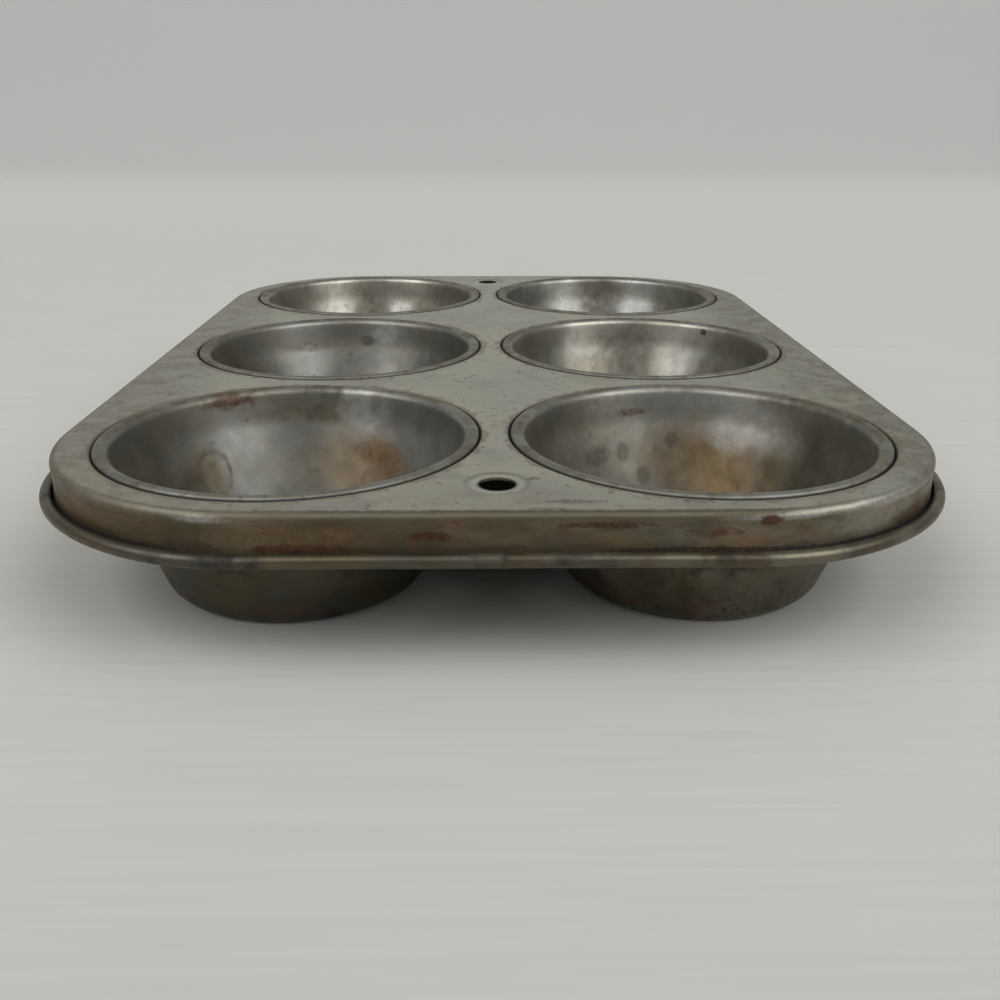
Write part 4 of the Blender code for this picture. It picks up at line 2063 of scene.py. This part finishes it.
FRONT_LEFT_STAINS_AND_LIGHT = (
    on_wall(12.0, 11.0, 20.0, 8.0, Tone.CLEAN_TIN_AND_HIGHLIGHT, strength=0.4, soft=0.8, patchy=0.4, dull=0.2),
    on_wall(66.0, 20.0, 15.0, 9.0, Tone.CLEAN_TIN_AND_HIGHLIGHT, strength=0.6, soft=0.8, patchy=0.4, dull=0.2),
    on_wall(4.0, 25.0, 13.0, 2.2, Tone.BAKED_BROWN, strength=0.75, ragged=1.6, soft=0.6, patchy=0.3),
    on_wall(-30.0, 29.2, 8.0, 2.2, Tone.BAKED_BROWN, strength=0.8, ragged=1.4, soft=0.5),
    on_wall(-33.0, 29.0, 5.0, 1.0, Tone.RUST, strength=0.8, soft=0.4),
    on_wall(4.0, 30.0, 6.0, 1.6, Tone.OLIVE_BROWN_AND_SHADE, strength=0.7, ragged=1.4, soft=0.5),
    on_wall(20.0, 13.0, 12.0, 7.0, Tone.AMBER, strength=0.7, soft=0.7, patchy=0.3, dull=0.2),
    on_wall(27.0, 17.0, 5.5, 2.6, Tone.ORANGE_BROWN, strength=0.8, ragged=1.5, soft=0.6, patchy=0.1),
    on_wall(36.0, 13.0, 5.0, 5.0, Tone.ORANGE_BROWN, strength=0.6, soft=0.6, patchy=0.4),
    on_wall(50.0, 11.0, 5.0, 3.0, Tone.OLIVE_BROWN_AND_SHADE, strength=0.7, soft=0.6, patchy=0.2),
    # Painted highlight: the left window's reflection on the wall
    on_wall(20.0, 26.5, 5.5, 4.2, Tone.BRIGHT_TIN_AND_HIGHLIGHT, strength=0.85, ragged=1.5, soft=0.5, dull=0.0),
    on_wall(24.0, 27.6, 1.6, 2.4, Tone.OLIVE_BROWN_AND_SHADE, strength=0.6, ragged=1.2, soft=0.5, patchy=0.2),
    on_wall(-49.0, 14.0, 4.4, 5.0, Tone.AMBER, strength=0.5, ragged=0.8, soft=0.5, dull=0.2),
    on_wall(-46.0, 14.5, 4.8, 5.6, Tone.OLIVE_TIN_AND_SHADE, strength=0.7, ragged=0.5, rim=True),
    # Painted shade on the side wall of the cup
    on_wall(-78.0, 13.0, 16.0, 15.0, Tone.OLIVE_BROWN_AND_SHADE, strength=0.85, soft=0.8, patchy=0.2),
)
FRONT_RIGHT_STAINS_AND_LIGHT = (
    on_wall(0.0, 30.2, 5.0, 1.4, Tone.OLIVE_BROWN_AND_SHADE, strength=0.6, ragged=1.4, soft=0.5),
    on_wall(44.0, 30.0, 10.0, 1.6, Tone.OLIVE_TIN_AND_SHADE, strength=0.7, ragged=1.4, soft=0.5),
    on_wall(6.0, 27.0, 20.0, 3.4, Tone.CLEAN_TIN_AND_HIGHLIGHT, strength=0.6, soft=0.7, patchy=0.5, dull=0.1),
    on_wall(-30.0, 14.0, 17.0, 14.0, Tone.OLIVE_TIN_AND_SHADE, strength=0.55, soft=0.8, patchy=0.5, dull=0.2),
    on_wall(24.0, 13.0, 15.0, 9.0, Tone.AMBER, strength=0.9, soft=0.7, patchy=0.25, dull=0.2),
    on_wall(8.0, 16.0, 8.0, 5.0, Tone.BAKED_BROWN, strength=0.55, soft=0.6, patchy=0.3),
    # Painted highlight: the left window's reflection on the wall
    on_wall(34.0, 22.0, 10.0, 4.5, Tone.BRIGHT_TIN_AND_HIGHLIGHT, strength=0.85, soft=0.6, patchy=0.4, dull=0.0),
    on_wall(-20.0, 16.6, 1.8, 2.2, Tone.DARK_SPOT, **DRIED_DROP),
    on_wall(-11.0, 11.1, 2.0, 2.0, Tone.DARK_SPOT, **DRIED_DROP),
    on_wall(2.0, 18.7, 1.6, 1.8, Tone.DARK_SPOT, **DRIED_DROP),
    on_wall(-33.0, 16.5, 3.2, 2.0, Tone.DARK_SPOT, strength=0.6, ragged=2.0, soft=0.4, patchy=0.1),
    on_wall(-15.0, 25.2, 3.8, 0.9, Tone.RUST, strength=0.7),
    # Painted shade on the side wall of the cup
    on_wall(70.0, 14.0, 17.0, 15.0, Tone.OLIVE_BROWN_AND_SHADE, strength=0.85, soft=0.8, patchy=0.15),
)
MIDDLE_LEFT_STAINS_AND_LIGHT = (
    # Painted highlight where a window reflects, kept faint
    on_wall(-25.0, 19.0, 5.0, 4.5, Tone.CLEAN_TIN_AND_HIGHLIGHT, strength=0.3, soft=0.7, dull=0.1),
    on_wall(24.0, 14.0, 7.0, 6.0, Tone.SAND_TIN, strength=0.7, soft=0.7, dull=0.1),
    # Painted highlight: a bright streak at the neck
    on_wall(16.0, 26.5, 4.0, 2.2, Tone.BRIGHT_TIN_AND_HIGHLIGHT, strength=0.7, soft=0.5, dull=0.0),
    on_wall(-22.0, 23.4, 9.0, 1.4, Tone.BAKED_BROWN, strength=0.5, ragged=2.0, soft=0.5),
    on_wall(6.0, 24.5, 2.0, 1.6, Tone.DARK_SPOT, strength=0.7, ragged=1.0, patchy=0.1),
    on_wall(64.0, 17.0, 9.0, 8.0, Tone.BAKED_BROWN, strength=0.5, soft=0.7, patchy=0.3),
    # Painted shade on the side wall of the cup
    on_wall(-76.0, 15.0, 17.0, 15.0, Tone.OLIVE_BROWN_AND_SHADE, strength=0.9, soft=0.8, patchy=0.2),
)
MIDDLE_RIGHT_STAINS_AND_LIGHT = (
    # The next two: painted highlights where the windows reflect
    on_wall(-24.0, 24.0, 5.0, 5.0, Tone.BRIGHT_TIN_AND_HIGHLIGHT, strength=0.4, **PAINTED_HIGHLIGHT),
    on_wall(28.0, 15.0, 6.0, 9.0, Tone.BRIGHT_TIN_AND_HIGHLIGHT, strength=0.45, patchy=0.3, **PAINTED_HIGHLIGHT),
    on_wall(2.0, 20.0, 9.0, 9.0, Tone.DULL_TIN, strength=0.75, soft=0.7, dull=0.1),
    on_wall(-20.0, 16.0, 6.0, 4.0, Tone.WARM_TIN, strength=0.7, soft=0.5, dull=0.1),
    on_wall(54.0, 17.0, 8.0, 9.0, Tone.OLIVE_TIN_AND_SHADE, strength=0.8, soft=0.7, patchy=0.3),
    on_wall(42.0, 28.6, 1.0, 0.9, Tone.GRIME_AND_SHADE, strength=0.8, ragged=1.6, patchy=0.0),
    # Painted shade on the side wall of the cup
    on_wall(-76.0, 15.0, 16.0, 15.0, Tone.OLIVE_BROWN_AND_SHADE, strength=0.7, soft=0.8, patchy=0.3),
)
BACK_LEFT_STAINS_AND_LIGHT = (
    # The next two: painted highlights where the windows reflect
    on_wall(-30.0, 21.0, 5.0, 5.0, Tone.BRIGHT_TIN_AND_HIGHLIGHT, strength=0.6, **PAINTED_HIGHLIGHT),
    on_wall(15.0, 17.0, 5.0, 5.0, Tone.BRIGHT_TIN_AND_HIGHLIGHT, strength=0.95, soft=0.4, patchy=0.1, dull=0.0),
    on_wall(-8.0, 20.0, 6.0, 8.0, Tone.OLIVE_TIN_AND_SHADE, strength=0.8, soft=0.6, patchy=0.4),
    on_wall(38.0, 20.0, 6.0, 9.0, Tone.OLIVE_TIN_AND_SHADE, strength=0.7, soft=0.6, patchy=0.4),
    # The next two: painted shade on the side walls of the cup
    on_wall(-74.0, 18.0, 15.0, 14.0, Tone.OLIVE_BROWN_AND_SHADE, strength=0.75, soft=0.8, patchy=0.3),
    on_wall(76.0, 18.0, 14.0, 14.0, Tone.OLIVE_TIN_AND_SHADE, strength=0.8, soft=0.8, patchy=0.3),
)
BACK_RIGHT_STAINS_AND_LIGHT = (
    # The next two: painted highlights where the windows reflect
    on_wall(-21.0, 19.0, 5.0, 6.0, Tone.BRIGHT_TIN_AND_HIGHLIGHT, strength=0.4, patchy=0.3, **PAINTED_HIGHLIGHT),
    on_wall(28.0, 20.0, 6.0, 8.0, Tone.BRIGHT_TIN_AND_HIGHLIGHT, strength=0.4, patchy=0.3, **PAINTED_HIGHLIGHT),
    on_wall(4.0, 22.0, 7.0, 9.0, Tone.DULL_TIN, strength=0.85, soft=0.6, patchy=0.4, dull=0.1),
    on_wall(50.0, 20.0, 6.0, 8.0, Tone.OLIVE_TIN_AND_SHADE, strength=0.7, soft=0.6, patchy=0.4),
    # The next two: painted shade on the side walls of the cup
    on_wall(-74.0, 18.0, 15.0, 14.0, Tone.OLIVE_BROWN_AND_SHADE, strength=0.75, soft=0.8, patchy=0.3),
    on_wall(76.0, 18.0, 14.0, 14.0, Tone.OLIVE_TIN_AND_SHADE, strength=0.8, soft=0.8, patchy=0.3),
)
PLATE_STAINS_AND_LIGHT = (
    on_plate(-60.0, -104.0, 30.3, 34.0, 26.0, 2.0, Tone.WARM_TIN, strength=0.6, soft=0.8),
    on_plate(66.0, -119.0, 26.5, 10.0, 7.0, 2.4, Tone.TIN, strength=0.6, soft=0.6),
    # The next three: painted highlights on the bends near the corners
    on_plate(72.0, -117.0, 29.3, 14.0, 9.0, 0.9, Tone.BRIGHT_TIN_AND_HIGHLIGHT, strength=0.8, **PAINTED_HIGHLIGHT),
    on_plate(49.0, -125.5, 29.1, 8.0, 2.4, 0.45, Tone.BRIGHT_TIN_AND_HIGHLIGHT, strength=0.7, **PAINTED_HIGHLIGHT),
    on_plate(-49.0, -125.5, 29.0, 4.0, 2.4, 0.5, Tone.BRIGHT_TIN_AND_HIGHLIGHT, strength=0.8, **PAINTED_HIGHLIGHT),
    on_plate(44.9, -125.5, 28.7, 1.9, 2.0, 0.9, Tone.RUST, strength=0.95, patchy=0.1),
    on_plate(-11.2, -125.7, 26.0, 3.6, 3.0, 0.9, Tone.RUST, strength=0.9, patchy=0.2),
    on_plate(-33.0, -126.0, 23.9, 8.0, 3.0, 0.9, Tone.RUST, strength=0.95, patchy=0.1),
    on_plate(17.0, -125.7, 28.0, 8.0, 3.0, 0.6, Tone.RUST, strength=0.8, ragged=2.6),
    on_plate(-33.0, -125.7, 26.0, 12.0, 3.0, 2.0, Tone.ORANGE_BROWN, strength=0.6, soft=0.6),
    on_plate(13.0, -120.8, 30.3, 4.8, 0.9, 1.0, Tone.DARK_SPOT, strength=0.7, ragged=2.6),
    on_plate(8.5, -124.0, 30.3, 3.0, 0.5, 1.0, Tone.DARK_SPOT, strength=0.7, ragged=2.6),
    on_plate(6.6, -109.2, 30.3, 1.2, 0.9, 1.0, Tone.BAKED_BROWN, strength=0.8, ragged=2.0),
    on_plate(76.0, -108.0, 24.5, 9.0, 9.0, 1.6, Tone.RUST, strength=0.85, ragged=2.2),
    on_plate(38.0, -126.0, 23.5, 22.0, 3.0, 0.5, Tone.DARK_RUST, strength=0.9, ragged=1.0),
)


def main() -> None:
    """Builds the pan piece by piece, then the studio."""
    logging.basicConfig(level=logging.INFO, format="%(name)s: %(message)s")
    sizes = PanSizes()
    effects = Effects()
    oven_side = OvenSide().make("oven_side", effects)
    worn = {"tin": Tone.WORN_TIN, "roughness": 0.36}
    dark = {"tin": Tone.SHADE_TIN, "roughness": 0.36, "shine": 0.2}
    insides = {
        "cup_front_left": CupInside(**dark, stains_and_light=FRONT_LEFT_STAINS_AND_LIGHT),
        "cup_front_right": CupInside(**worn, dirt=0.7, stains_and_light=FRONT_RIGHT_STAINS_AND_LIGHT),
        "cup_middle_left": CupInside(**dark, dirt=0.9, stains_and_light=MIDDLE_LEFT_STAINS_AND_LIGHT),
        "cup_middle_right": CupInside(stains_and_light=MIDDLE_RIGHT_STAINS_AND_LIGHT),
        "cup_back_left": CupInside(fog=Tone.WORN_TIN, stains_and_light=BACK_LEFT_STAINS_AND_LIGHT),
        "cup_back_right": CupInside(tin=Tone.BLUE_TIN, stains_and_light=BACK_RIGHT_STAINS_AND_LIGHT),
    }
    cups = [Cup(name, centre, sizes, insides[name]) for name, centre in sizes.centres().items()]
    pattern = cups[0].build_pattern()
    for cup in cups:
        cup.build(effects, oven_side, pattern)
    bpy.data.objects.remove(pattern, do_unlink=True)
    TopPlate(sizes, PlateTop(sizes, PLATE_STAINS_AND_LIGHT)).build(effects, oven_side)
    RimWire(sizes, WireSteel()).build(effects)
    Studio().build()


if __name__ == "__main__":
    main()
